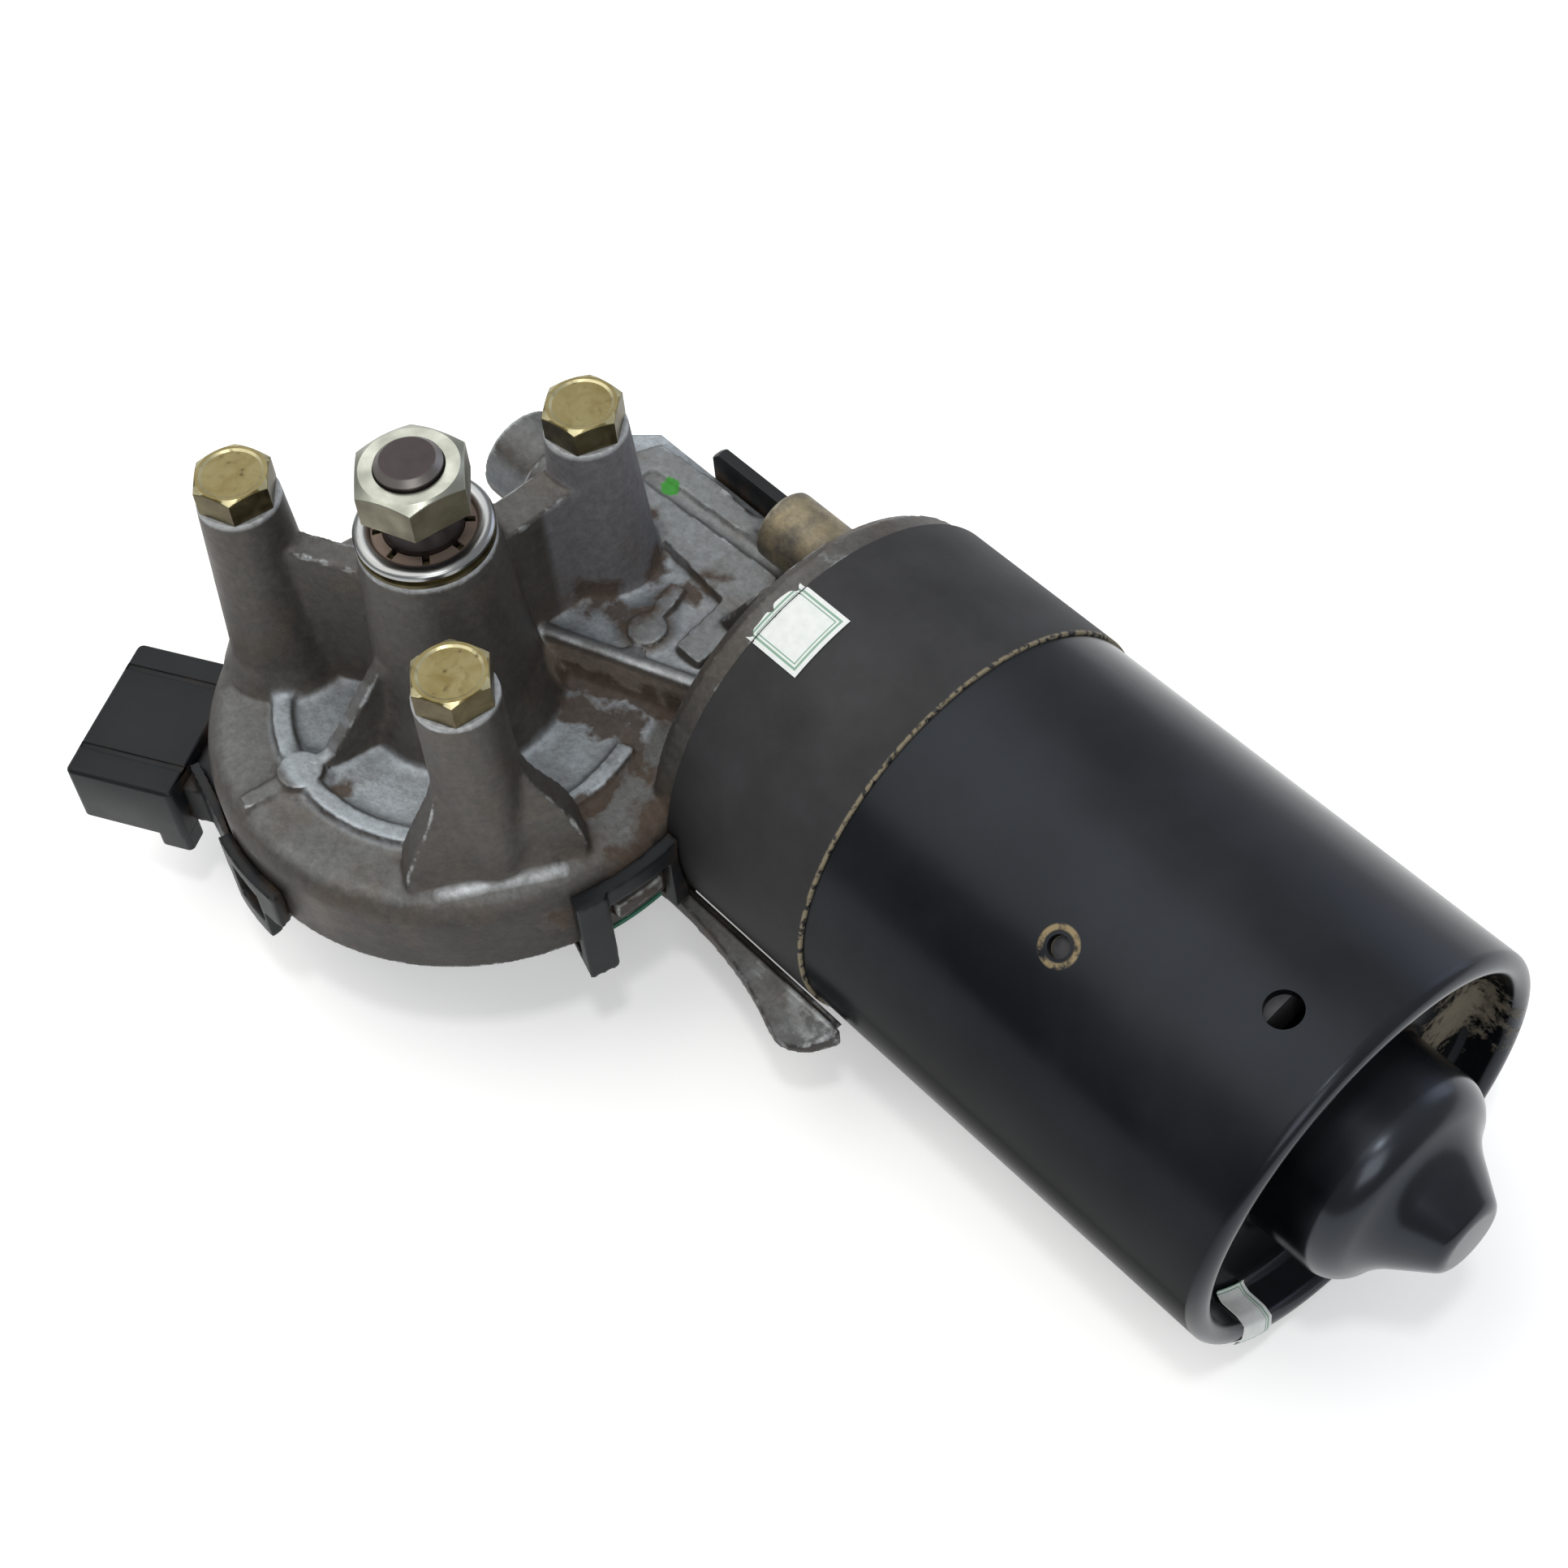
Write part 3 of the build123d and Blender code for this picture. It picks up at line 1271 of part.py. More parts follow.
os.makedirs("parts", exist_ok=True)
for name, make in nodes.items():
    made = make()
    solids = made if isinstance(made, list) else [made]
    shape = Compound(children=[s for piece in solids for s in piece.solids()])
    export_step(shape, "parts/" + name + ".step")
    print(name, len(shape.solids()), round(shape.volume, 1))
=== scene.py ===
import math

import bmesh
import bpy
import numpy as np
from mathutils import Euler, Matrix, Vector


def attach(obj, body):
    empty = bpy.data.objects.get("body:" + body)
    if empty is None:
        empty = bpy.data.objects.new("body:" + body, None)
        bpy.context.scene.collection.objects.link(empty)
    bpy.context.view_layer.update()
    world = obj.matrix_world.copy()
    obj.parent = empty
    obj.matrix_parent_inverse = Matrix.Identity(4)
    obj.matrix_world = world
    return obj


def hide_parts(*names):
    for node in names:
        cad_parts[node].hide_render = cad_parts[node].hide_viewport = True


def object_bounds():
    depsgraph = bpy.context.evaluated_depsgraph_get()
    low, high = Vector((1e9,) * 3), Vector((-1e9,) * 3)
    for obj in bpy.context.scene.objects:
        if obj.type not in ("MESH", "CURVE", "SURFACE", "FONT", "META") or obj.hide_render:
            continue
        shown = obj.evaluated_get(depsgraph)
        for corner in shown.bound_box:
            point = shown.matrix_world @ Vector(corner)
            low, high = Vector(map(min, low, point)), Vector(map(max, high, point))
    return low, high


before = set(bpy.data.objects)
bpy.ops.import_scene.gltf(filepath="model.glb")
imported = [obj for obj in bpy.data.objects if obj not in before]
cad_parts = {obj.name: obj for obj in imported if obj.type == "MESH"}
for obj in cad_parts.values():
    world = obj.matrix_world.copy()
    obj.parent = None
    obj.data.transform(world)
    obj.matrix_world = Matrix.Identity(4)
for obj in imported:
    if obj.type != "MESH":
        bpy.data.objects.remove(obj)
cad_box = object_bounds()

# The studio. The motor lies on a plain white bench under a wide soft ceiling light, with a second soft
# lamp behind it, a pale window to its right, a weak fill beside the camera and a small bulb for the
# glints. The camera looks down past the can's closed end.


def linear(hex_colour):
    """An sRGB hex colour as the linear RGBA that the nodes take."""
    parts = [int(hex_colour[i:i + 2], 16) / 255 for i in (1, 3, 5)]
    return tuple(c / 12.92 if c <= 0.04045 else ((c + 0.055) / 1.055) ** 2.4 for c in parts) + (1.0,)


def fit(node, inputs):
    """Sets a node's inputs. Each takes a number, a hex colour or another node's output."""
    for key, value in inputs.items():
        if isinstance(value, bpy.types.NodeSocket):
            node.id_data.links.new(value, node.inputs[key])
        elif isinstance(value, str) and value.startswith("#"):
            node.inputs[key].default_value = linear(value)
        else:
            node.inputs[key].default_value = value


def add(tree, kind, inputs=None, out=None, **settings):
    """Adds a node with its settings and inputs. Gives its named output, or else its first one in use."""
    node = tree.nodes.new(kind if "Node" in kind else "ShaderNode" + kind)
    for key, value in settings.items():
        setattr(node, key, value)
    fit(node, inputs or {})
    return node.outputs[out] if out else next((o for o in node.outputs if o.enabled), None)


def put(name, data):
    """A new object in the scene, at the origin."""
    obj = bpy.data.objects.new(name, data)
    bpy.context.scene.collection.objects.link(obj)
    return obj


bench_half, bench_z = 3, cad_box[0][2] - 0.0002
bench_mesh = bpy.data.meshes.new("bench")
bench_corners = [(x * bench_half, y * bench_half, bench_z) for x, y in ((-1, -1), (1, -1), (1, 1), (-1, 1))]
bench_mesh.from_pydata(bench_corners, [], [(0, 1, 2, 3)])
bench = put("bench", bench_mesh)
bench_paint = bpy.data.materials.new("white_bench_paint")
bench_paint.use_nodes = True
tree = bench_paint.node_tree
rays = add(tree, "LightPath").node.outputs
seen = add(tree, "Math", {0: rays["Is Camera Ray"], 1: rays["Is Glossy Ray"]}, operation="MAXIMUM")
seen = add(tree, "Math", {0: seen, 1: rays["Is Transmission Ray"]}, operation="MAXIMUM")
lift = add(tree, "Math", {0: seen, 1: 0.30}, operation="MULTIPLY")
fit(tree.nodes["Principled BSDF"], {"Base Color": "#F4F4F3", "Roughness": 0.95,
                                    "Emission Color": "#FFFFFF", "Emission Strength": lift})
bench_mesh.materials.append(bench_paint)

world = bpy.data.worlds.new("pale_room")
bpy.context.scene.world = world
world.use_nodes = True
fit(world.node_tree.nodes["Background"], {"Color": "#F2F4F7", "Strength": 0.44})

lamp_aim = Vector((0.05, 0.02, -0.04))
lamps = (
    ("ceiling_light", (-0.36, -0.24, 0.92), 1.0, 5.2, "#FFFDF8"),
    ("back_light", (-0.75, 0.42, 0.80), 0.70, 2.4, "#FFFFFF"),
    ("window_light", (0.10, 1.05, 0.35), 0.60, 1.8, "#DCE6FF"),
    ("fill_light", (0.75, -0.45, 0.75), 0.60, 3.6, "#FFFFFF"),
    ("glint_light", (0.29, -0.15, 0.98), 0.10, 1.8, "#FFFFFF"),
)
for lamp_name, place, width, power, colour in lamps:
    lamp = bpy.data.lights.new(lamp_name, "AREA")
    lamp.size = width
    lamp.energy = power
    lamp.color = linear(colour)[:3]
    lamp_object = put(lamp_name, lamp)
    lamp_object.location = place
    lamp_object.rotation_euler = (lamp_aim - Vector(place)).to_track_quat("-Z", "Y").to_euler()

camera = put("camera", bpy.data.cameras.new("camera"))
camera.data.sensor_width = 36.0
camera.data.lens = 65.277
camera.data.clip_start = 0.01
camera.location = (0.249023, -0.127645, 0.306569)
camera.rotation_euler = Euler([math.radians(a) for a in (36.0319, 3.7411, 47.9924)])
bpy.context.scene.camera = camera
bpy.context.scene.view_settings.view_transform = "Standard"

# The gear housing. A pressure die casting in grey aluminium alloy, with draughted bosses and filleted
# ribs, left as cast except for the turned boss tops. Years of road dirt and rust lie in its corners,
# which painted shade darkens as well.

axis_y, axis_z = 0.04125, -0.044
block_top_z = -0.030
boss_circle_r, bolt_bore_r = 0.030, 0.0050
boss_angles = [math.radians(a) for a in (90, 210, 330)]
boss_places = [(boss_circle_r * math.cos(a), boss_circle_r * math.sin(a)) for a in boss_angles]


def made(form, name):
    """Makes a bmesh form into a new object."""
    mesh = bpy.data.meshes.new(name)
    form.to_mesh(mesh)
    form.free()
    return put(name, mesh)


def merged_copy(node, name):
    """A copy of a CAD node's mesh, with its loose triangles joined into closed faces."""
    form = bmesh.new()
    form.from_mesh(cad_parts[node].data)
    bmesh.ops.remove_doubles(form, verts=form.verts, dist=2e-6)
    bmesh.ops.dissolve_limit(form, angle_limit=math.radians(0.3), verts=form.verts, edges=form.edges)
    return made(form, name)


def settle(obj):
    """Turns what an object's modifiers make into its own plain mesh."""
    bpy.context.view_layer.update()
    evaluated = obj.evaluated_get(bpy.context.evaluated_depsgraph_get())
    mesh = bpy.data.meshes.new_from_object(evaluated)
    mesh.name = obj.name
    obj.modifiers.clear()
    obj.data = mesh


def even_out(obj, rounds):
    """Gives an object an even mesh of 0.4 mm faces, and eases its edges."""
    even = obj.modifiers.new("even_mesh", "REMESH")
    even.mode = "VOXEL"
    even.voxel_size = 0.00040
    soft = obj.modifiers.new("soft_edges", "SMOOTH")
    soft.factor = 0.5
    soft.iterations = rounds


def finish(name, colour, metallic, roughness):
    """A new material with its shader's plain values. Gives it with its tree, shader and coordinates."""
    material = bpy.data.materials.new(name)
    material.use_nodes = True
    tree = material.node_tree
    shader = tree.nodes["Principled BSDF"]
    fit(shader, {"Base Color": colour, "Metallic": metallic, "Roughness": roughness})
    return material, tree, shader, add(tree, "TexCoord", out="Object")


def upward(tree):
    """How far the surface faces up: 1 on a level top, 0 on a wall."""
    return add(tree, "SeparateXYZ", {0: add(tree, "TexCoord", out="Normal")}, "Z")


def from_spindle(tree, where):
    """A place's distance from the spindle's axis."""
    flat = add(tree, "VectorMath", {0: where, 1: (1, 1, 0)}, operation="MULTIPLY")
    return add(tree, "VectorMath", {0: flat}, operation="LENGTH")


def per_mm(size):
    """A noise texture's scale for patches of this many millimetres on Object coordinates in metres."""
    return 1000.0 / size


def use(obj, material, smooth_angle=None):
    """Gives an object one material, and smooth shading below an angle."""
    obj.data.materials.clear()
    obj.data.materials.append(material)
    if smooth_angle is not None:
        for face in obj.data.polygons:
            face.use_smooth = True
        obj.data.set_sharp_from_angle(angle=math.radians(smooth_angle))


def dress(material, *parts):
    """Gives CAD pieces that keep their own mesh a material."""
    for part in parts:
        use(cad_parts[part], material)


def read_mesh(mesh):
    """A mesh's points and normals, and a function for the mean place of each point's neighbours."""
    count = len(mesh.vertices)
    points, normals = np.empty(count * 3), np.empty(count * 3)
    mesh.vertices.foreach_get("co", points)
    mesh.vertices.foreach_get("normal", normals)
    ends = np.empty(len(mesh.edges) * 2, dtype=np.int64)
    mesh.edges.foreach_get("vertices", ends)
    a, b = ends[0::2], ends[1::2]
    degree = np.maximum(np.bincount(a, minlength=count) + np.bincount(b, minlength=count), 1)

    def beside(values):
        sums = [np.bincount(a, values[b, k], count) + np.bincount(b, values[a, k], count) for k in range(3)]
        return np.stack(sums, 1) / degree[:, None]

    return points.reshape(-1, 3), normals.reshape(-1, 3), beside


def fill_corners(mesh, rounds, where_to):
    """Builds up the hollow corners of a dense mesh, as a die's rounded edges do, and leaves the ridges."""
    points, normals, beside = read_mesh(mesh)
    allowed = where_to(points).astype(float)
    for _ in range(rounds):
        outward = np.maximum(((beside(points) - points) * normals).sum(axis=1), 0) * allowed
        points += normals * (outward * 0.9)[:, None]
    mesh.vertices.foreach_set("co", points.reshape(-1))
    mesh.update()


def mark_edges(mesh, rounds, depth_mm):
    """Stores how far each point stands out of the smoothed shape as 'ridge', or lies in it as 'hollow'."""
    points, normals, beside = read_mesh(mesh)
    eased = points.copy()
    for _ in range(rounds):
        eased = 0.5 * eased + 0.5 * beside(eased)
    rise = ((points - eased) * normals).sum(axis=1) / (depth_mm / 1000)
    for name, value in (("ridge", rise), ("hollow", -rise)):
        layer = mesh.attributes.new(name, "FLOAT", "POINT")
        layer.data.foreach_set("value", np.clip(value, 0, 1))


def outside_of_casting(p):
    """Which points of the housing lie on its outside, away from the bores and the chamber."""
    spindle_r = np.hypot(p[:, 0], p[:, 1])
    armature_r = np.hypot(p[:, 1] - axis_y, p[:, 2] - axis_z)
    above = (p[:, 2] > -0.0385) & (spindle_r > 0.0092)
    beyond = (p[:, 2] > -0.0512) & (spindle_r > 0.0395) & (armature_r > 0.0095) & (p[:, 0] < 0.0385)
    outside = above | beyond
    for x, y in boss_places:
        outside &= np.hypot(p[:, 0] - x, p[:, 1] - y) >= bolt_bore_r
    return outside


def slim_pad(mesh, middle, floor_z, reach, share):
    """Draws a round pad's wall in towards its own axis, above the floor that it stands on."""
    for vertex in mesh.vertices:
        away = Vector((vertex.co.x - middle[0], vertex.co.y - middle[1]))
        if vertex.co.z > floor_z and away.length < reach:
            hold = min(1.0, (reach - away.length) / 0.0008)
            vertex.co.x -= away.x * share * hold
            vertex.co.y -= away.y * share * hold


casting = merged_copy("gear_housing", "housing_casting")
even_out(casting, 3)
settle(casting)
fill_corners(casting.data, 24, outside_of_casting)
rib_circle_r, disc_pad_angle = 0.0284, math.radians(-100)
disc_pad = (rib_circle_r * math.cos(disc_pad_angle), rib_circle_r * math.sin(disc_pad_angle))
block_pad = (0.0161, 0.0244)
slim_pad(casting.data, disc_pad, -0.0364, 0.0052, 0.16)
slim_pad(casting.data, block_pad, -0.0294, 0.0054, 0.26)
most_triangles = 190000
step = casting.modifiers.new("fewer_faces", "DECIMATE")
step.ratio = min(1.0, most_triangles / max(1, sum(len(f.vertices) - 2 for f in casting.data.polygons)))
settle(casting)
mark_edges(casting.data, 16, 0.34)

# Die-cast aluminium: a grey metal with a soft, slightly mottled sheen. Its upward faces are washed
# clean and painted paler, a painted light from above. Its sides and outer band wear a brown film of road
# dirt, which on the sides is painted shade as well, and its raised edges are rubbed bright with a painted
# highlight.
cast_metal, tree, shader, where = finish("die_cast_aluminium", "#8E9090", 0.75, 0.5)
cloud = add(tree, "TexNoise", {"Vector": where, "Scale": per_mm(9), "Detail": 5.0})
patchy = add(tree, "TexNoise", {"Vector": where, "Scale": per_mm(5), "Detail": 6.0, "Roughness": 0.65})
facing = upward(tree)
height = add(tree, "SeparateXYZ", {0: where}, "Z")
flat_r = from_spindle(tree, where)
# Upward faces are painted paler and walls darker: cleaner tops, with painted light from above and painted
# shade on the sides.
washed_and_top_lit = add(tree, "Math", {0: patchy, 1: 0.5, 2: -0.25}, operation="MULTIPLY_ADD")
washed_and_top_lit = add(tree, "Math", {0: facing, 1: washed_and_top_lit}, operation="ADD")
washed_and_top_lit = add(tree, "MapRange", {"Value": washed_and_top_lit, "From Min": 0.45, "From Max": 0.97})
band = add(tree, "MapRange", {"Value": flat_r, "From Min": 0.0300, "From Max": 0.0312, "To Max": 0.5})
low = add(tree, "MapRange", {"Value": height, "From Min": -0.0330, "From Max": -0.0345})
band = add(tree, "Math", {0: band, 1: low}, operation="MULTIPLY")
washed_and_top_lit = add(tree, "Math", {0: washed_and_top_lit, 1: band}, operation="SUBTRACT", use_clamp=True)
high = add(tree, "MapRange", {"Value": height, "From Min": -0.0245, "From Max": -0.0230, "To Max": 0.8})
washed_and_top_lit = add(tree, "Math", {0: washed_and_top_lit, 1: high}, operation="SUBTRACT", use_clamp=True)
clean = add(tree, "Mix", {0: cloud, 6: "#6B6E6F", 7: "#878A8B"}, data_type="RGBA")
# The walls' brown film is road dirt and painted side shade together.
filmed_and_shaded = add(tree, "Mix", {0: cloud, 6: "#464340", 7: "#585551"}, data_type="RGBA")
# The skirt below the disc's edge is painted darker still, a painted shade under the overhang.
skirt_shade = add(tree, "MapRange", {"Value": height, "From Min": -0.0385, "From Max": -0.0405, "To Max": 0.75})
filmed_and_shaded = add(tree, "Mix", {0: skirt_shade, 6: filmed_and_shaded, 7: "#2D2B2A"}, data_type="RGBA")

# The disc's floor between the ribs and the gear block's top are painted palest and bluish, a painted
# sheen of the pale room on these level faces.
on_floor = add(tree, "MapRange", {"Value": height, "From Min": -0.0325, "From Max": -0.0335})
inside = add(tree, "MapRange", {"Value": flat_r, "From Min": 0.0312, "From Max": 0.0300})
on_floor = add(tree, "Math", {0: on_floor, 1: inside}, operation="MULTIPLY")
on_block = add(tree, "Math", {0: height, 1: -block_top_z}, operation="ADD")
on_block = add(tree, "Math", {0: on_block}, operation="ABSOLUTE")
on_block = add(tree, "MapRange", {"Value": on_block, "From Min": 0.0007, "From Max": 0.0004, "To Max": 0.9})
on_floor = add(tree, "Math", {0: on_floor, 1: on_block}, operation="MAXIMUM")
# The paler, bluish colour is a painted sheen.
floor_sheen = add(tree, "Mix", {0: cloud, 6: "#959CA2", 7: "#AFB6BB"}, data_type="RGBA")
clean = add(tree, "Mix", {0: on_floor, 6: clean, 7: floor_sheen}, data_type="RGBA")
colour = add(tree, "Mix", {0: washed_and_top_lit, 6: filmed_and_shaded, 7: clean}, data_type="RGBA")

# Grime and painted shade darken the hollows and the occluded corners, and the ridges are rubbed bright
# with a painted highlight.
hollow = add(tree, "Attribute", out="Fac", attribute_name="hollow")
corner = add(tree, "AmbientOcclusion", {"Distance": 0.006}, "AO", samples=8)
corner = add(tree, "MapRange", {"Value": corner, "From Min": 0.3, "From Max": 0.85,
                                "To Min": 0.55, "To Max": 0.0})
corner = add(tree, "Math", {0: hollow, 1: corner}, operation="MAXIMUM")
broken = add(tree, "MapRange", {"Value": patchy, "From Min": 0.32, "From Max": 0.62})
grime_and_shade = add(tree, "Math", {0: corner, 1: broken}, operation="MULTIPLY", use_clamp=True)
bare = add(tree, "MapRange", {"Value": on_floor, "To Min": 1.0, "To Max": 0.45})
grime_and_shade = add(tree, "Math", {0: grime_and_shade, 1: bare}, operation="MULTIPLY")
# The dark brown here is grime and painted corner shade.
colour = add(tree, "Mix", {0: grime_and_shade, 6: colour, 7: "#4A4036"}, data_type="RGBA")
# Ridges are painted bright: rubbed metal, and a painted highlight.
ridge = add(tree, "Attribute", out="Fac", attribute_name="ridge")
rubbed_highlight = add(tree, "Math", {0: ridge, 1: broken}, operation="MULTIPLY")
rubbed_highlight = add(tree, "MapRange", {"Value": rubbed_highlight, "From Min": 0.42, "From Max": 0.95, "To Max": 0.7})
colour = add(tree, "Mix", {0: rubbed_highlight, 6: colour, 7: "#C4C8CA"}, data_type="RGBA")


def from_line(a, b, place):
    """How far a place on the casting lies from the line between two points given in millimetres."""
    a, b = Vector(a) / 1000, Vector(b) / 1000
    span = b - a
    start = add(tree, "VectorMath", {0: place, 1: a}, operation="SUBTRACT")
    share = add(tree, "VectorMath", {0: start, 1: span}, operation="DOT_PRODUCT")
    share = add(tree, "Math", {0: share, 1: span.length_squared}, operation="DIVIDE", use_clamp=True)
    foot = add(tree, "VectorMath", {0: span, "Scale": share}, operation="SCALE")
    return add(tree, "VectorMath", {0: start, 1: foot}, operation="DISTANCE")


def patch(so_far, distance, reach_mm, inner_mm):
    """Adds a patch to those so far: 1 within its inner distance, falling to 0 at its reach."""
    near = add(tree, "MapRange", {"Value": distance, "From Min": reach_mm / 1000,
                                  "From Max": inner_mm / 1000})
    return add(tree, "Math", {0: so_far, 1: near}, operation="MAXIMUM")


# The rear boss, the step's wall and the tunnel's end are painted paler on their walls than the rest: a
# painted fill light that lifts them out of their shade.
painted_fill = 0.0
for a, b, reach, painted_fill_colour in (
    ((0.5, 30, -28), (0.5, 30, -3), 13.5, "#66666A"),
    ((8, 12.6, -33), (31, 21.8, -33), 4.2, "#7A6E63"),
    ((-38, 39, -38), (-22, 39, -38), 9.5, "#888D91"),
):
    near = patch(0.0, from_line(a, b, where), reach, reach - 1.5)
    near = add(tree, "Math", {0: near, 1: 0.8}, operation="MULTIPLY")
    upright = add(tree, "MapRange", {"Value": facing, "From Min": 0.75, "From Max": 0.45})
    near = add(tree, "Math", {0: near, 1: upright}, operation="MULTIPLY")
    colour = add(tree, "Mix", {0: near, 6: colour, 7: painted_fill_colour}, data_type="RGBA")
    painted_fill = add(tree, "Math", {0: painted_fill, 1: near}, operation="MAXIMUM")

# Two edges carry a painted highlight, and are made smoother and more metallic: the disc's edge below the
# front boss, and the step's ridge.
highlight_strip = 0.0
for a, b, reach in (
    ((27.4, -26.2, -36.9), (36.4, -10.6, -36.9), 1.4),
    ((1, 10.6, -28.6), (31, 22.4, -28.6), 1.5),
):
    highlight_strip = patch(highlight_strip, from_line(a, b, where), reach, reach * 0.2)
level = add(tree, "MapRange", {"Value": facing, "From Min": 0.35, "From Max": 0.75, "To Max": 0.95})
uneven = add(tree, "MapRange", {"Value": patchy, "From Min": 0.35, "From Max": 0.6, "To Min": 0.35})
for share in (level, uneven):
    highlight_strip = add(tree, "Math", {0: highlight_strip, 1: share}, operation="MULTIPLY")
colour = add(tree, "Mix", {0: highlight_strip, 6: colour, 7: "#C0C4C6"}, data_type="RGBA")

# Rust brown water stains: spots round a middle and streaks along a line, with their reach in
# millimetres. The first streak, along the step wall's foot, is painted shade as well as rust. They are
# drawn out of round by a slow sway and break up at their edges.
sway = add(tree, "TexNoise", {"Vector": where, "Scale": per_mm(6), "Detail": 3.0}, "Color")
sway = add(tree, "VectorMath", {0: sway, 1: (0.5, 0.5, 0.5)}, operation="SUBTRACT")
sway = add(tree, "VectorMath", {0: sway, "Scale": 0.009}, operation="SCALE")
swayed = add(tree, "VectorMath", {0: where, 1: sway}, operation="ADD")
stains = (
    ((37.7, 7.2, -38), 4), ((22.5, 18.6, -35), 4.5), ((28, 20, -35), 4.5), ((39, -14, -44), 4),
    ((1.6, 21, -29), 5.5), ((-2, 15.5, -29), 5), ((6, 22.5, -29), 5), ((10.5, 23.5, -29), 4),
    ((13, 27, -29), 3), ((14.5, 34, -29), 4), ((16, 37.5, -29), 3), ((7, 34, -29), 4),
    ((12, 31, -29), 3.5), ((-1, 38, -28), 4), ((-4, 19, -28), 4), ((2, -24, -36), 3),
)
# The first streak, at the step wall's foot, is painted shade as well as rust.
streaks_and_shade = (
    ((9, 13, -36.6), (31, 21.6, -36.6), 3.4), ((15, 10, -37), (24, 13.5, -37), 3.8),
    ((24, 13, -37), (31, 9.5, -37), 3.4), ((28.6, 10.5, -37), (30.2, 4.2, -37), 2.6),
    ((30.2, 4.2, -37), (30.2, -2.4, -37), 2.3), ((37.5, 8, -38), (38.5, -4, -41), 4),
)
stained = 0.0
for middle, reach in stains:
    away = add(tree, "VectorMath", {0: swayed, 1: Vector(middle) / 1000}, operation="DISTANCE")
    stained = patch(stained, away, reach, reach / 4)
for a, b, reach in streaks_and_shade:
    stained = patch(stained, from_line(a, b, swayed), reach, reach * 0.3)
rough_edge = add(tree, "TexNoise", {"Vector": where, "Scale": per_mm(3.5), "Detail": 8.0, "Roughness": 0.65})
rough_edge = add(tree, "Math", {0: rough_edge, 1: 2.2, 2: -1.0}, operation="MULTIPLY_ADD")
stain = add(tree, "Math", {0: stained, 1: rough_edge}, operation="ADD")
stain = add(tree, "MapRange", {"Value": stain, "From Min": 0.25, "From Max": 0.85, "To Max": 0.92})
held = add(tree, "MapRange", {"Value": stained, "From Max": 0.2})
stain = add(tree, "Math", {0: stain, 1: held}, operation="MULTIPLY", use_clamp=True)
rust = add(tree, "Mix", {0: patchy, 6: "#372D26", 7: "#524337"}, data_type="RGBA")
colour = add(tree, "Mix", {0: stain, 6: colour, 7: rust}, data_type="RGBA")

# The screw lug beside the can is stained yellow and beige by old preserving wax.
from_lug = add(tree, "VectorMath", {0: where, 1: (0.0275, 0.0480, -0.0170)}, operation="DISTANCE")
waxed = add(tree, "MapRange", {"Value": from_lug, "From Min": 0.0105, "From Max": 0.0050})
waxed = add(tree, "Math", {0: waxed, 1: broken}, operation="MULTIPLY", use_clamp=True)
wax = add(tree, "Mix", {0: cloud, 6: "#6E5D3A", 7: "#A59B80"}, data_type="RGBA")
colour = add(tree, "Mix", {0: waxed, 6: colour, 7: wax}, data_type="RGBA")

# The boss tops are turned bright, and a green paint dot marks an inspected casting.
turned = add(tree, "MapRange", {"Value": height, "From Min": -0.0010, "From Max": -0.0003})
colour = add(tree, "Mix", {0: turned, 6: colour, 7: "#A4A6A7"}, data_type="RGBA")
from_dot = add(tree, "VectorMath", {0: where, 1: (-0.0032, 0.0456, -0.0280)}, operation="DISTANCE")
wobble = add(tree, "TexNoise", {"Vector": where, "Scale": per_mm(1.6), "Detail": 2.0})
edge = add(tree, "Math", {0: wobble, 1: 0.0018}, operation="MULTIPLY")
edge = add(tree, "Math", {0: from_dot, 1: edge}, operation="ADD")
dot = add(tree, "MapRange", {"Value": edge, "From Min": 0.0027, "From Max": 0.0025})
colour = add(tree, "Mix", {0: dot, 6: colour, 7: "#3E8A38"}, data_type="RGBA")

# Over all of it lie brown blotches and the fine mottle of a die's skin.
blotch = add(tree, "TexNoise", {"Vector": where, "Scale": per_mm(11), "Detail": 7.0, "Roughness": 0.6})
blotch = add(tree, "MapRange", {"Value": blotch, "From Min": 0.5, "From Max": 0.72, "To Max": 0.5})
blotch = add(tree, "Math", {0: blotch, 1: turned}, operation="SUBTRACT", use_clamp=True)
colour = add(tree, "Mix", {0: blotch, 6: colour, 7: "#584A3D"}, data_type="RGBA")
mottle = add(tree, "TexNoise", {"Vector": where, "Scale": per_mm(1.4), "Detail": 8.0, "Roughness": 0.75})
shade = add(tree, "MapRange", {"Value": mottle, "From Min": 0.32, "From Max": 0.68,
                               "To Min": 0.74, "To Max": 1.26})
colour = add(tree, "HueSaturation", {"Value": shade, "Color": colour})
dull = add(tree, "Math", {0: grime_and_shade, 1: highlight_strip}, operation="SUBTRACT", use_clamp=True)
for layer in (stain, dot, painted_fill):
    dull = add(tree, "Math", {0: dull, 1: layer}, operation="MAXIMUM")
film = add(tree, "Math", {0: washed_and_top_lit, 1: highlight_strip}, operation="MAXIMUM")
film = add(tree, "MapRange", {"Value": film, "To Min": 0.55, "To Max": 0.8})
clear = add(tree, "Math", {0: 1.0, 1: dull}, operation="SUBTRACT", use_clamp=True)
shine = add(tree, "Math", {0: film, 1: clear}, operation="MULTIPLY")
matt = add(tree, "MapRange", {"Value": cloud, "From Min": 0.3, "From Max": 0.7,
                              "To Min": 0.42, "To Max": 0.58})
matt = add(tree, "Math", {0: matt, 1: dull}, operation="MAXIMUM")
skin = add(tree, "Bump", {"Height": mottle, "Strength": 0.55, "Distance": 0.00022})
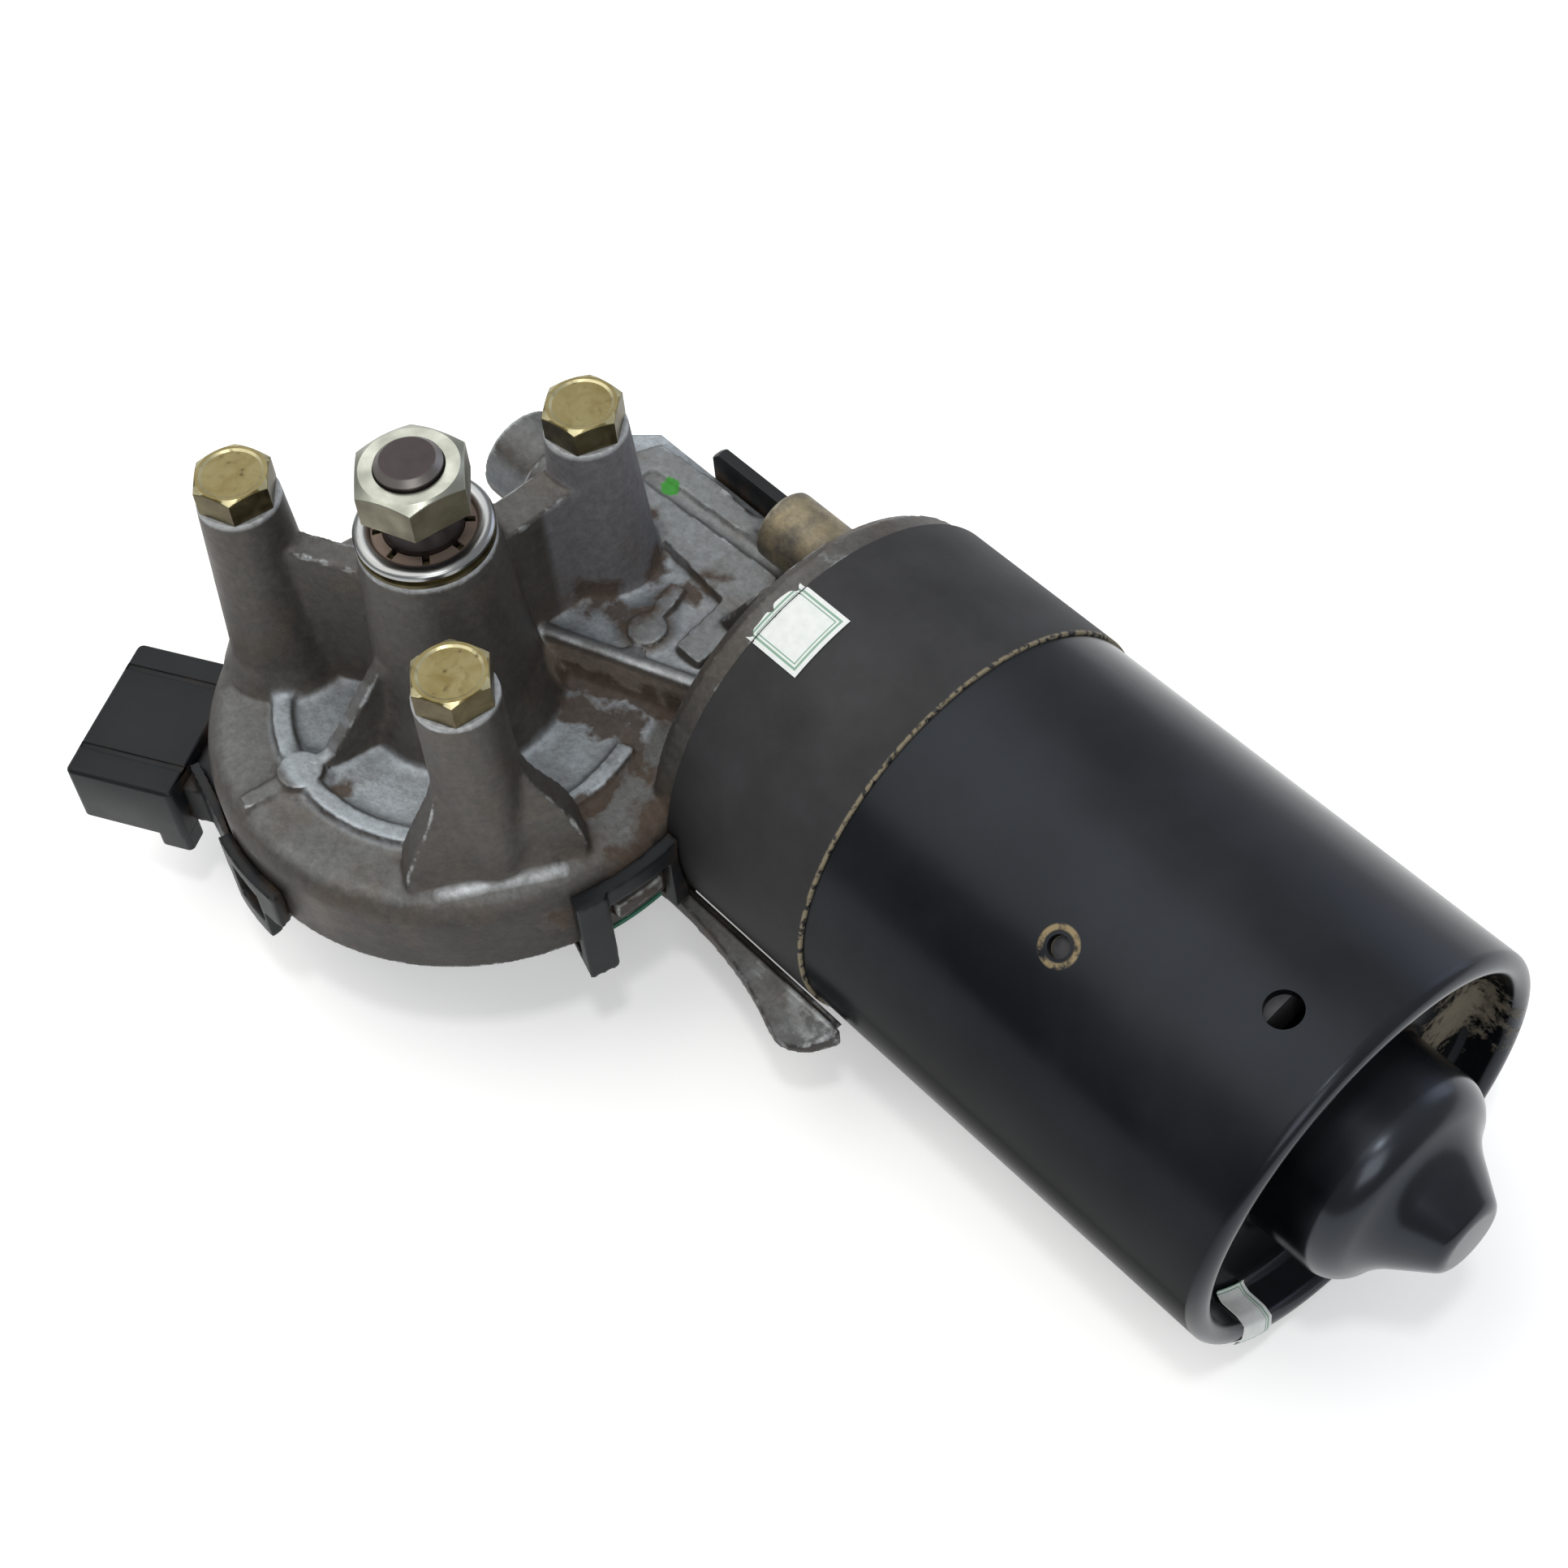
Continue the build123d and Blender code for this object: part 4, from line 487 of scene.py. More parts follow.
skin = add(tree, "Bump", {"Height": stain, "Strength": 0.4, "Distance": 0.0002, "Normal": skin})
fit(shader, {"Base Color": colour, "Metallic": shine, "Roughness": matt, "Normal": skin})
use(casting, cast_metal, 180)
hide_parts("gear_housing")
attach(casting, "root")

# The cover and its snap hoops, and the connector's socket. Both are moulded in black glass-filled
# nylon. It is satin where the tool was polished, and brown with dust in its corners.

black_nylon, tree, shader, where = finish("black_moulded_nylon", "#1D1E20", 0.0, 0.42)
cloud = add(tree, "TexNoise", {"Vector": where, "Scale": per_mm(14), "Detail": 4.0})
base = add(tree, "Mix", {0: cloud, 6: "#0F1114", 7: "#1A1D20"}, data_type="RGBA")
corner = add(tree, "AmbientOcclusion", {"Distance": 0.005}, "AO", samples=10)
corner = add(tree, "MapRange", {"Value": corner, "From Min": 0.3, "From Max": 0.9,
                                "To Min": 0.9, "To Max": 0.0})
patchy = add(tree, "TexNoise", {"Vector": where, "Scale": per_mm(4), "Detail": 6.0})
patchy = add(tree, "MapRange", {"Value": patchy, "From Min": 0.4, "From Max": 0.65})
dust = add(tree, "Math", {0: corner, 1: patchy}, operation="MULTIPLY", use_clamp=True)
dusty = add(tree, "Mix", {0: dust, 6: base, 7: "#3F342A"}, data_type="RGBA")
satin = add(tree, "MapRange", {"Value": cloud, "From Min": 0.3, "From Max": 0.7,
                               "To Min": 0.36, "To Max": 0.5})
spark = add(tree, "TexNoise", {"Vector": where, "Scale": per_mm(0.35), "Detail": 2.0})
grain = add(tree, "Bump", {"Height": spark, "Strength": 0.25, "Distance": 0.00006})
fit(shader, {"Base Color": dusty, "Specular IOR Level": 0.2, "Roughness": satin, "Normal": grain})

cover = merged_copy("gear_cover", "cover_moulding")
even_out(cover, 2)
step = cover.modifiers.new("fewer_faces", "DECIMATE")
step.ratio = 0.35
settle(cover)
use(cover, black_nylon, 40)
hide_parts("gear_cover")
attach(cover, "root")

socket = merged_copy("connector_housing", "connector_socket")
bevel = socket.modifiers.new("broken_edges", "BEVEL")
bevel.width = 0.00025
bevel.segments = 2
bevel.limit_method = "ANGLE"
bevel.angle_limit = math.radians(30)
bevel.harden_normals = False
settle(socket)
use(socket, black_nylon, 35)
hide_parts("connector_housing")
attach(socket, "root")
dress(black_nylon, "contact_plate")

# The cover's gasket, pressed between the cover's rim and the casting's foot. It is punched from soft
# green silicone rubber sheet, which is matt and a little mottled.


def two_tone(name, colour, metallic, roughness, low, high, pattern, kind="TexNoise", **settings):
    """A material that runs between two colours by one texture, whose inputs are the pattern."""
    material, tree, shader, where = finish(name, colour, metallic, roughness)
    texture = add(tree, kind, {"Vector": where, **pattern}, **settings)
    fit(shader, {"Base Color": add(tree, "Mix", {0: texture, 6: low, 7: high}, data_type="RGBA")})
    return material


mottled = {"Scale": per_mm(3), "Detail": 4.0}
green_rubber = two_tone("green_silicone_sheet", "#1F5B47", 0.0, 0.7, "#174836", "#2A7058", mottled)
dress(green_rubber, "cover_seal")

# The mounting bolts, with 11 mm hexagon heads. They are cold headed steel, zinc plated and yellow
# chromated, so they are gold with a grey and olive bloom and dark specks. Their tops are painted paler
# and their sides darker, painted light and shade, with a painted highlight round the chamfer.

yellow_zinc, tree, shader, where = finish("yellow_chromated_zinc", "#8E835C", 0.9, 0.36)
facing = upward(tree)
cloud = add(tree, "TexNoise", {"Vector": where, "Scale": per_mm(3.2), "Detail": 5.0, "Distortion": 0.6})
cloud = add(tree, "MapRange", {"Value": cloud, "From Min": 0.3, "From Max": 0.7})
# The tops are painted paler and the sides darker: painted light from above and painted side shade.
lit_top = add(tree, "Mix", {0: cloud, 6: "#675B37", 7: "#857C58"}, data_type="RGBA")
side = add(tree, "Mix", {0: cloud, 6: "#463C26", 7: "#6A6348"}, data_type="RGBA")
top_light = add(tree, "MapRange", {"Value": facing, "From Min": 0.3, "From Max": 0.7})
gold = add(tree, "Mix", {0: top_light, 6: side, 7: lit_top}, data_type="RGBA")
# A painted highlight on the chamfer's slope.
chamfer_highlight = add(tree, "Math", {0: facing, 1: 0.88}, operation="SUBTRACT")
chamfer_highlight = add(tree, "Math", {0: chamfer_highlight}, operation="ABSOLUTE")
chamfer_highlight = add(tree, "MapRange", {"Value": chamfer_highlight, "From Min": 0.09, "From Max": 0.04})
gold = add(tree, "Mix", {0: chamfer_highlight, 6: gold, 7: "#BCB48E"}, data_type="RGBA")
specks = add(tree, "TexNoise", {"Vector": where, "Scale": per_mm(1.6), "Detail": 6.0})
specks = add(tree, "MapRange", {"Value": specks, "From Min": 0.56, "From Max": 0.72, "To Max": 0.7})
gold = add(tree, "Mix", {0: specks, 6: gold, 7: "#5E5238"}, data_type="RGBA")
matt = add(tree, "MapRange", {"Value": cloud, "To Min": 0.3, "To Max": 0.46})
matt = add(tree, "Math", {0: matt, 1: specks}, operation="MAXIMUM")
bloom = add(tree, "Bump", {"Height": cloud, "Strength": 0.2, "Distance": 0.0001})
fit(shader, {"Base Color": gold, "Roughness": matt, "Normal": bloom})


def hexagon_piece(name, across, around, rings, turn=0.0, bored=False):
    """Rings of points joined into a hexagonal piece. A ring is a radius and a height in millimetres, and
    each is a number, or a function of the hexagon's own radius there."""
    form = bmesh.new()
    hoops = []
    for ring in rings:
        hoop = []
        for i in range(around):
            angle = 2 * math.pi * i / around
            outline = across / 2 / math.cos((angle + math.pi / 6) % (math.pi / 3) - math.pi / 6)
            r, z = (value(outline) / 1000 if callable(value) else value / 1000 for value in ring)
            angle += math.radians(turn)
            hoop.append(form.verts.new((r * math.cos(angle), r * math.sin(angle), z)))
        hoops.append(hoop)
    for low, high in zip(hoops, hoops[1:] + hoops[:1] if bored else hoops[1:]):
        for i in range(around):
            j = (i + 1) % around
            form.faces.new((low[i], low[j], high[j], high[i]))
    if not bored:
        form.faces.new(hoops[-1])
        form.faces.new(list(reversed(hoops[0])))
    bmesh.ops.recalc_face_normals(form, faces=form.faces)
    return made(form, name)


def new_tree(name, inputs, output):
    """An empty geometry tree with named inputs, each with its kind of socket; gives it and its inputs."""
    group = bpy.data.node_groups.new(name, "GeometryNodeTree")
    for label, kind in inputs.items():
        group.interface.new_socket(name=label, in_out="INPUT", socket_type="NodeSocket" + kind)
    group.interface.new_socket(name=output, in_out="OUTPUT", socket_type="NodeSocketGeometry")
    return group, add(group, "NodeGroupInput").node.outputs


def run_tree(obj, group, values):
    """Puts an object through a geometry tree with these inputs, and keeps what it makes."""
    modifier = obj.modifiers.new(group.name, "NODES")
    modifier.node_group = group
    for item in group.interface.items_tree:
        if item.in_out == "INPUT" and item.name in values:
            modifier[item.identifier] = values[item.name]
    settle(obj)


# A copy of one piece stands on each point, turned by the point's own 'turn'.
setting, given = new_tree("set_out", {"Points": "Geometry", "Piece": "Object", "Size": "Float",
                                      "Material": "Material"}, "Pieces")
turn = add(setting, "GeometryNodeInputNamedAttribute", {"Name": "turn"}, data_type="FLOAT_VECTOR")
turn = add(setting, "FunctionNodeEulerToRotation", {0: turn})
piece = add(setting, "GeometryNodeObjectInfo", {"Object": given["Piece"]}, "Geometry")
points = add(setting, "GeometryNodeMeshToPoints", {"Mesh": given["Points"]})
pieces = add(setting, "GeometryNodeInstanceOnPoints", {"Points": points, "Instance": piece,
                                                       "Rotation": turn, "Scale": given["Size"]})
pieces = add(setting, "GeometryNodeRealizeInstances", {"Geometry": pieces})
pieces = add(setting, "GeometryNodeSetMaterial", {"Geometry": pieces, "Material": given["Material"]})
add(setting, "NodeGroupOutput", {0: pieces})


def set_out_pieces(name, places, piece, material):
    """An object that holds a copy of the piece at each (point, turn), through the tree above."""
    mesh = bpy.data.meshes.new(name)
    mesh.from_pydata([p for p, _ in places], [], [])
    turns = mesh.attributes.new("turn", "FLOAT_VECTOR", "POINT")
    turns.data.foreach_set("vector", [c for _, turn in places for c in turn])
    obj = put(name, mesh)
    run_tree(obj, setting, {"Piece": piece, "Size": 1.0, "Material": material})
    bpy.data.objects.remove(piece)
    return obj


bolt_across, bolt_head_h, bolt_shank_r, bolt_shank_foot = 11.0, 4.8, 3.5, -23.0
bolt_face_r = bolt_across / 2 - 0.15


def bolt_chamfer(r):
    """The height of the head's 28 degree chamfer at a radius."""
    return bolt_head_h - (r - bolt_face_r) * math.tan(math.radians(28))


bolt = hexagon_piece("bolt_form", bolt_across, 48, (
    (bolt_shank_r, bolt_shank_foot), (bolt_shank_r, 0.0), (lambda r: r - 0.15, 0.0), (lambda r: r, 0.15),
    (lambda r: r, lambda r: bolt_chamfer(r) - 0.1), (lambda r: r - 0.08, bolt_chamfer),
    (bolt_face_r, bolt_head_h), (bolt_face_r - 0.5, bolt_head_h), (bolt_face_r - 0.9, bolt_head_h - 0.22),
))
bolt_turns = [math.radians(a) for a in (39.5, 50.5, 53.2)]
places = [((x, y, 0), (0, 0, turn)) for (x, y), turn in zip(boss_places, bolt_turns)]
bolts = set_out_pieces("boss_bolts", places, bolt, yellow_zinc)
use(bolts, yellow_zinc, 18)
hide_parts("mounting_bolts")
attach(bolts, "root")
dress(yellow_zinc, "spindle_washers")

# The crank nut on the spindle. It is turned from hexagon bar and zinc plated with a clear passivate:
# silvery, a little yellow, with crisp bright chamfers. Its top is painted paler and its sides darker,
# painted light and shade.

bright_zinc, tree, shader, where = finish("clear_zinc_plate", "#A5A596", 0.95, 0.3)
top_light = add(tree, "MapRange", {"Value": upward(tree), "From Min": 0.2, "From Max": 0.75})
cloud = add(tree, "TexNoise", {"Vector": where, "Scale": per_mm(5), "Detail": 4.0})
cloud = add(tree, "MapRange", {"Value": cloud, "From Min": 0.35, "From Max": 0.65})
# The sides are painted darker and the top paler: painted shade and painted light from above.
side = add(tree, "Mix", {0: cloud, 6: "#595341", 7: "#7B7662"}, data_type="RGBA")
lit_top = add(tree, "Mix", {0: cloud, 6: "#8D8F84", 7: "#B0B2A6"}, data_type="RGBA")
fit(shader, {
    "Base Color": add(tree, "Mix", {0: top_light, 6: side, 7: lit_top}, data_type="RGBA"),
    "Roughness": add(tree, "MapRange", {"Value": cloud, "To Min": 0.36, "To Max": 0.24}),
    "Metallic": add(tree, "MapRange", {"Value": top_light, "To Min": 0.55, "To Max": 0.95}),
})
nut_across, nut_foot, nut_top, nut_face_r, nut_bore_r, nut_turn = 15.6, 8.2, 14.6, 7.3, 5.04, 52


def nut_chamfer(r):
    """The height of the nut's 30 degree chamfer at a radius."""
    return nut_top - (r - nut_face_r) * math.tan(math.radians(30))


nut = hexagon_piece("crank_nut", nut_across, 96, (
    (lambda r: r - 0.2, nut_foot), (lambda r: r, nut_foot + 0.2),
    (lambda r: r, lambda r: nut_chamfer(r) - 0.1), (lambda r: r - 0.1, lambda r: nut_chamfer(r) + 0.05),
    (nut_face_r, nut_top), (nut_bore_r + 0.2, nut_top), (nut_bore_r, nut_top - 0.2), (nut_bore_r, nut_foot),
), nut_turn, bored=True)
use(nut, bright_zinc, 20)
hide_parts("shaft_nut")
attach(nut, "output")
dress(bright_zinc, "wheel_hub", "can_screws", "thrust_screw")

# The star lock washer that holds the spindle in the casting. It is pressed from spring steel: its
# rolled rim is rubbed bright, and its dished teeth are rusty where they grip the shaft.

spring_steel, tree, shader, where = finish("rolled_spring_steel", "#B4B5B4", 1.0, 0.28)
inner = add(tree, "MapRange", {"Value": from_spindle(tree, where), "From Min": 0.0086, "From Max": 0.0082})
inner = add(tree, "Math", {0: inner, 1: 0.85}, operation="MULTIPLY")
fit(shader, {
    "Base Color": add(tree, "Mix", {0: inner, 6: "#9A9B9B", 7: "#7D6A5C"}, data_type="RGBA"),
    "Roughness": add(tree, "MapRange", {"Value": inner, "To Min": 0.26, "To Max": 0.7}),
})


def arc(cx, cy, r, a0, a1, count, squash=1.0):
    """Points on an arc of a profile, in millimetres, with angles in degrees."""
    turns = [math.radians(a0 + (a1 - a0) * i / count) for i in range(count + 1)]
    return [(cx + r * math.cos(a), cy + r * math.sin(a) * squash) for a in turns]


def cut_out(obj, tool):
    """Cuts one object's shape out of another, and removes the tool."""
    cut = obj.modifiers.new("cut", "BOOLEAN")
    cut.operation = "DIFFERENCE"
    cut.solver = "EXACT"
    cut.object = tool
    settle(obj)
    bpy.data.objects.remove(tool)


washer_foot, rim_out, rim_in, cone_top, cone_r = 1.35, 10.4, 7.8, 2.2, 6.1
rim_half, rim_rise = (rim_out - rim_in) / 2, 0.75
profile = [(cone_r, cone_top), (cone_r, cone_top - 0.5), (rim_in - 0.1, washer_foot),
           (rim_out - 0.4, washer_foot), (rim_out, washer_foot + 0.35)]
profile += arc(rim_in + rim_half, washer_foot + 0.7, rim_half, 10, 175, 11, rim_rise / rim_half)
profile += [(rim_in, washer_foot + 0.55)]
form = bmesh.new()
corners = [form.verts.new((r / 1000, 0, z / 1000)) for r, z in profile]
loop = [form.edges.new((corners[i], corners[(i + 1) % len(corners)])) for i in range(len(corners))]
bmesh.ops.spin(form, geom=corners + loop, cent=(0, 0, 0), axis=(0, 0, 1),
               angle=2 * math.pi, steps=144, use_merge=True)
bmesh.ops.remove_doubles(form, verts=form.verts, dist=1e-6)
bmesh.ops.recalc_face_normals(form, faces=form.faces)
star = made(form, "star_washer")
slot_size, slot_middle = (0.0026, 0.0011, 0.005), (0.0062, 0, 0.0015)
form = bmesh.new()
bmesh.ops.create_cube(form, size=1.0)
bmesh.ops.scale(form, verts=form.verts, vec=slot_size)
bmesh.ops.translate(form, verts=form.verts, vec=slot_middle)
slot_turns = [math.radians(45 * i + 10) for i in range(8)]
places = [((0, 0, 0), (0, 0, turn)) for turn in slot_turns]
cut_out(star, set_out_pieces("washer_slots", places, made(form, "slot_piece"), spring_steel))
use(star, spring_steel, 40)
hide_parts("star_lock_washer")
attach(star, "output")

# The plain spring steel clips, the middle bearing and the brushes' springs: bright, drawn or ground.

plain_steel, tree, shader, where = finish("bright_drawn_steel", "#A7A8A9", 1.0, 0.3)
brushed = add(tree, "TexNoise", {"Vector": where, "Scale": per_mm(1.5), "Detail": 3.0})
fit(shader, {"Roughness": add(tree, "MapRange", {"Value": brushed, "To Min": 0.2, "To Max": 0.42})})
dress(plain_steel, "circlip", "magnet_clips", "middle_bearing", "rear_bush_clip", "brush_springs")

# The spindle and the armature's shaft. Both are ground medium carbon steel. The spindle's bare end has
# browned to a dark, oily skin, with a brighter ring at its chamfer: rubbed metal, and a painted highlight.

brown_steel, tree, shader, where = finish("browned_ground_steel", "#3A3431", 0.9, 0.42)
height = add(tree, "SeparateXYZ", {0: where}, "Z")
# A painted highlight round the chamfer, where it is also rubbed.
rubbed_highlight = add(tree, "MapRange", {"Value": height, "From Min": 0.0150, "From Max": 0.0154})
ringed = add(tree, "MapRange", {"Value": from_spindle(tree, where), "From Min": 0.0040, "From Max": 0.0042})
for share in (ringed, 0.55):
    rubbed_highlight = add(tree, "Math", {0: rubbed_highlight, 1: share}, operation="MULTIPLY")
cloud = add(tree, "TexNoise", {"Vector": where, "Scale": per_mm(2.5), "Detail": 5.0})
base = add(tree, "Mix", {0: cloud, 6: "#383232", 7: "#4A4344"}, data_type="RGBA")
fit(shader, {"Base Color": add(tree, "Mix", {0: rubbed_highlight, 6: base, 7: "#8F8B86"}, data_type="RGBA")})
dress(brown_steel, "output_shaft")
dress(plain_steel, "armature_shaft")

# The motor can, deep drawn in steel and painted gloss black. Its rim is folded back round a ring shaped
# recess, and the dome in the middle holds the rear bush. A vent and a rivet hole pierce its top side.

can_r, can_wall, can_x0, can_end_x, recess_x = 34.4, 1.7, 39.9, 147.8, 140.6
rim_bend, rim_fold, recess_bend, dome_r = 1.9, 1.7, 1.6, 17.2
dome_x, nose_x, axis_gap = 151.0, 164.4, 0.02
turn_base_r, turn_sides = 20.0, 256

# The turning takes a profile of (radius, -station) points round the armature's axis.
turning, given = new_tree("turned_about_armature", {
    "Profile": "Geometry", "Base radius": "Float", "Sides": "Int", "Centre": "Vector",
    "Material": "Material",
}, "Turned")
profile = add(turning, "GeometryNodeMeshToCurve", {"Mesh": given["Profile"]})
hoop = add(turning, "GeometryNodeCurvePrimitiveCircle", {"Radius": given["Base radius"],
                                                         "Resolution": given["Sides"]})
swept = add(turning, "GeometryNodeCurveToMesh", {"Curve": hoop, "Profile Curve": profile})
swept = add(turning, "GeometryNodeTransform", {"Geometry": swept, "Translation": given["Centre"],
                                               "Rotation": (0, math.pi / 2, 0)})
swept = add(turning, "GeometryNodeMergeByDistance", {"Geometry": swept, "Distance": 1e-6})
swept = add(turning, "GeometryNodeRealizeInstances", {"Geometry": swept})
swept = add(turning, "GeometryNodeSetMaterial", {"Geometry": swept, "Material": given["Material"]})
add(turning, "NodeGroupOutput", {0: swept})


def turn_profile(name, points, material):
    """A closed (station, radius) profile in millimetres turned into a mesh about the armature's axis."""
    mesh = bpy.data.meshes.new(name)
    count = len(points)
    mesh.from_pydata([((r - turn_base_r) / 1000, -x / 1000, 0) for x, r in points],
                     [(i, (i + 1) % count) for i in range(count)], [])
    obj = put(name, mesh)
    run_tree(obj, turning, {"Base radius": turn_base_r / 1000, "Sides": turn_sides,
                            "Centre": (0.0, axis_y, axis_z), "Material": material})
    form = bmesh.new()
    form.from_mesh(obj.data)
    bmesh.ops.remove_doubles(form, verts=form.verts, dist=1e-6)
    bmesh.ops.recalc_face_normals(form, faces=form.faces)
    form.to_mesh(obj.data)
    form.free()
    return obj


def along(start, r, degrees):
    """The point at a distance and an angle from another."""
    return (start[0] + r * math.cos(math.radians(degrees)), start[1] + r * math.sin(math.radians(degrees)))


def dome_line(t):
    """The bearing dome from its foot to its nose, moved inwards by the wall t."""
    shoulder, waist, nose = 5.5, 10.0, 2.5
    c1 = (dome_x, dome_r - shoulder)
    c2 = along(c1, shoulder + waist, 25)
    tip = along(c2, waist, 235)
    corner = along(tip, (nose_x - tip[0]) / math.cos(math.radians(35)), -35)
    c3 = along(corner, nose, -125)
    line = arc(c1[0], c1[1], shoulder - t, 90, 25, 14) + arc(c2[0], c2[1], waist + t, 205, 235, 8)
    return line + arc(c3[0], c3[1], nose - t, 55, 0, 8)


outer = [(can_x0 + (can_end_x - rim_bend - can_x0) * i / 12, can_r) for i in range(12)]
outer += arc(can_end_x - rim_bend, can_r - rim_bend, rim_bend, 90, 0, 10)
outer += arc(can_end_x - rim_fold, can_r - rim_bend, rim_fold, 0, -90, 8)
outer += arc(recess_x + recess_bend, can_r - rim_bend - rim_fold - recess_bend, recess_bend, 90, 180, 6)
outer += arc(recess_x + recess_bend, dome_r + recess_bend, recess_bend, 180, 270, 6)
dome_out, dome_in = dome_line(0.0), dome_line(can_wall)
outer += dome_out + [(dome_out[-1][0], axis_gap), (dome_in[-1][0], axis_gap)]
inner = dome_in[::-1] + [(recess_x - can_wall, dome_r - can_wall), (recess_x - can_wall, can_r - can_wall),
                         (can_x0, can_r - can_wall)]

rivet_x, rivet_axis, rivet_r = 0.1064, 124.0, 0.0017
vent_x, vent_axis, vent_r = 0.1356, 103.0, 0.0028


def on_can(x, angle, r):
    """The point at a station, an angle and a radius about the armature's axis."""
    a = math.radians(angle)
    return (x, axis_y + r * math.cos(a), axis_z + r * math.sin(a))


# Gloss black enamel: a deep black with a wet sheen that takes the room's reflection, fine dust on top that
# also stands as a painted grey sheen on the upward faces, a dry beige mud patch in the recess, and a worn
# tan ring round the rivet hole.
gloss_black, tree, shader, where = finish("gloss_black_enamel", "#0D0E11", 0.0, 0.24)
facing = upward(tree)
gleam = add(tree, "MapRange", {"Value": facing, "From Max": 0.7, "To Min": 0.012, "To Max": 0.25})
station = add(tree, "SeparateXYZ", {0: where}, "X")
at_end = add(tree, "MapRange", {"Value": station, "From Min": 0.1455, "From Max": 0.1475, "To Max": 0.55})
gleam = add(tree, "Math", {0: gleam, 1: at_end}, operation="MAXIMUM")
haze = add(tree, "TexNoise", {"Vector": where, "Scale": per_mm(22), "Detail": 6.0})
haze = add(tree, "MapRange", {"Value": haze, "From Min": 0.4, "From Max": 0.75, "To Max": 0.35})
# Upward faces are painted paler: dust, and a painted sheen.
top_sheen_and_dust = add(tree, "MapRange", {"Value": facing, "From Min": 0.6, "From Max": 0.98, "To Max": 0.4})
haze = add(tree, "Math", {0: haze, 1: top_sheen_and_dust}, operation="ADD", use_clamp=True)
paint = add(tree, "Mix", {0: haze, 6: "#08090B", 7: "#2A2C2F"}, data_type="RGBA")

from_mud = add(tree, "VectorMath", {0: where, 1: (0.1406, 0.0675, -0.0448)}, operation="DISTANCE")
crumbs = add(tree, "TexNoise", {"Vector": where, "Scale": per_mm(2.4), "Detail": 8.0, "Roughness": 0.7})
edge = add(tree, "MapRange", {"Value": crumbs, "From Min": 0.3, "From Max": 0.7,
                              "To Min": -0.005, "To Max": 0.005})
from_mud = add(tree, "Math", {0: from_mud, 1: edge}, operation="ADD")
mud = add(tree, "MapRange", {"Value": from_mud, "From Min": 0.0085, "From Max": 0.0050})
off_axis = add(tree, "VectorMath", {0: where, 1: (0, axis_y, axis_z)}, operation="SUBTRACT")
off_axis = add(tree, "VectorMath", {0: off_axis, 1: (0, 1, 1)}, operation="MULTIPLY")
off_axis = add(tree, "VectorMath", {0: off_axis}, operation="LENGTH")
in_recess = add(tree, "MapRange", {"Value": off_axis, "From Min": 0.0330, "From Max": 0.0325})
mud = add(tree, "Math", {0: mud, 1: in_recess}, operation="MULTIPLY")

from_rivet = on_can(rivet_x, rivet_axis, can_r / 1000)
ring = add(tree, "VectorMath", {0: where, 1: from_rivet}, operation="DISTANCE")
ring = add(tree, "Math", {0: ring, 1: rivet_r + 0.0010}, operation="SUBTRACT")
ring = add(tree, "Math", {0: ring}, operation="ABSOLUTE")
ring = add(tree, "MapRange", {"Value": ring, "From Min": 0.00055, "From Max": 0.0003})
broken = add(tree, "MapRange", {"Value": crumbs, "From Min": 0.4, "From Max": 0.52})
ring = add(tree, "Math", {0: ring, 1: broken}, operation="MULTIPLY")
painted = add(tree, "Mix", {0: ring, 6: paint, 7: "#8A7B5E"}, data_type="RGBA")
muddy = add(tree, "Mix", {0: crumbs, 6: "#5E584C", 7: "#857E70"}, data_type="RGBA")
painted = add(tree, "Mix", {0: mud, 6: painted, 7: muddy}, data_type="RGBA")
dry = add(tree, "Math", {0: mud, 1: ring}, operation="MAXIMUM")
sheen = add(tree, "MapRange", {"Value": haze, "To Min": 0.19, "To Max": 0.45})
sheen = add(tree, "Math", {0: sheen, 1: dry}, operation="MAXIMUM")
wave = add(tree, "TexNoise", {"Vector": where, "Scale": per_mm(7), "Detail": 1.0})
peel = add(tree, "Bump", {"Height": wave, "Strength": 0.12, "Distance": 0.0002})
crust = add(tree, "Bump", {"Height": dry, "Strength": 0.5, "Distance": 0.0003, "Normal": peel})
# The specular tint colours the enamel's reflections a painted pale blue.
fit(shader, {"Base Color": painted, "Roughness": sheen, "Normal": crust,
             "Specular IOR Level": gleam, "Specular Tint": "#D8E2F2"})


def drill(obj, x, angle, r):
    """Cuts a round hole through a turned shell, along its radius."""
    form = bmesh.new()
    bmesh.ops.create_cone(form, cap_ends=True, segments=48, radius1=r, radius2=r, depth=0.012)
    out = Vector(on_can(0, angle, 1.0)) - Vector(on_can(0, angle, 0.0))
    form.transform(out.to_track_quat("Z", "X").to_matrix().to_4x4())
    bmesh.ops.translate(form, verts=form.verts, vec=Vector(on_can(x, angle, can_r / 1000)))
    cut_out(obj, made(form, "cutter"))


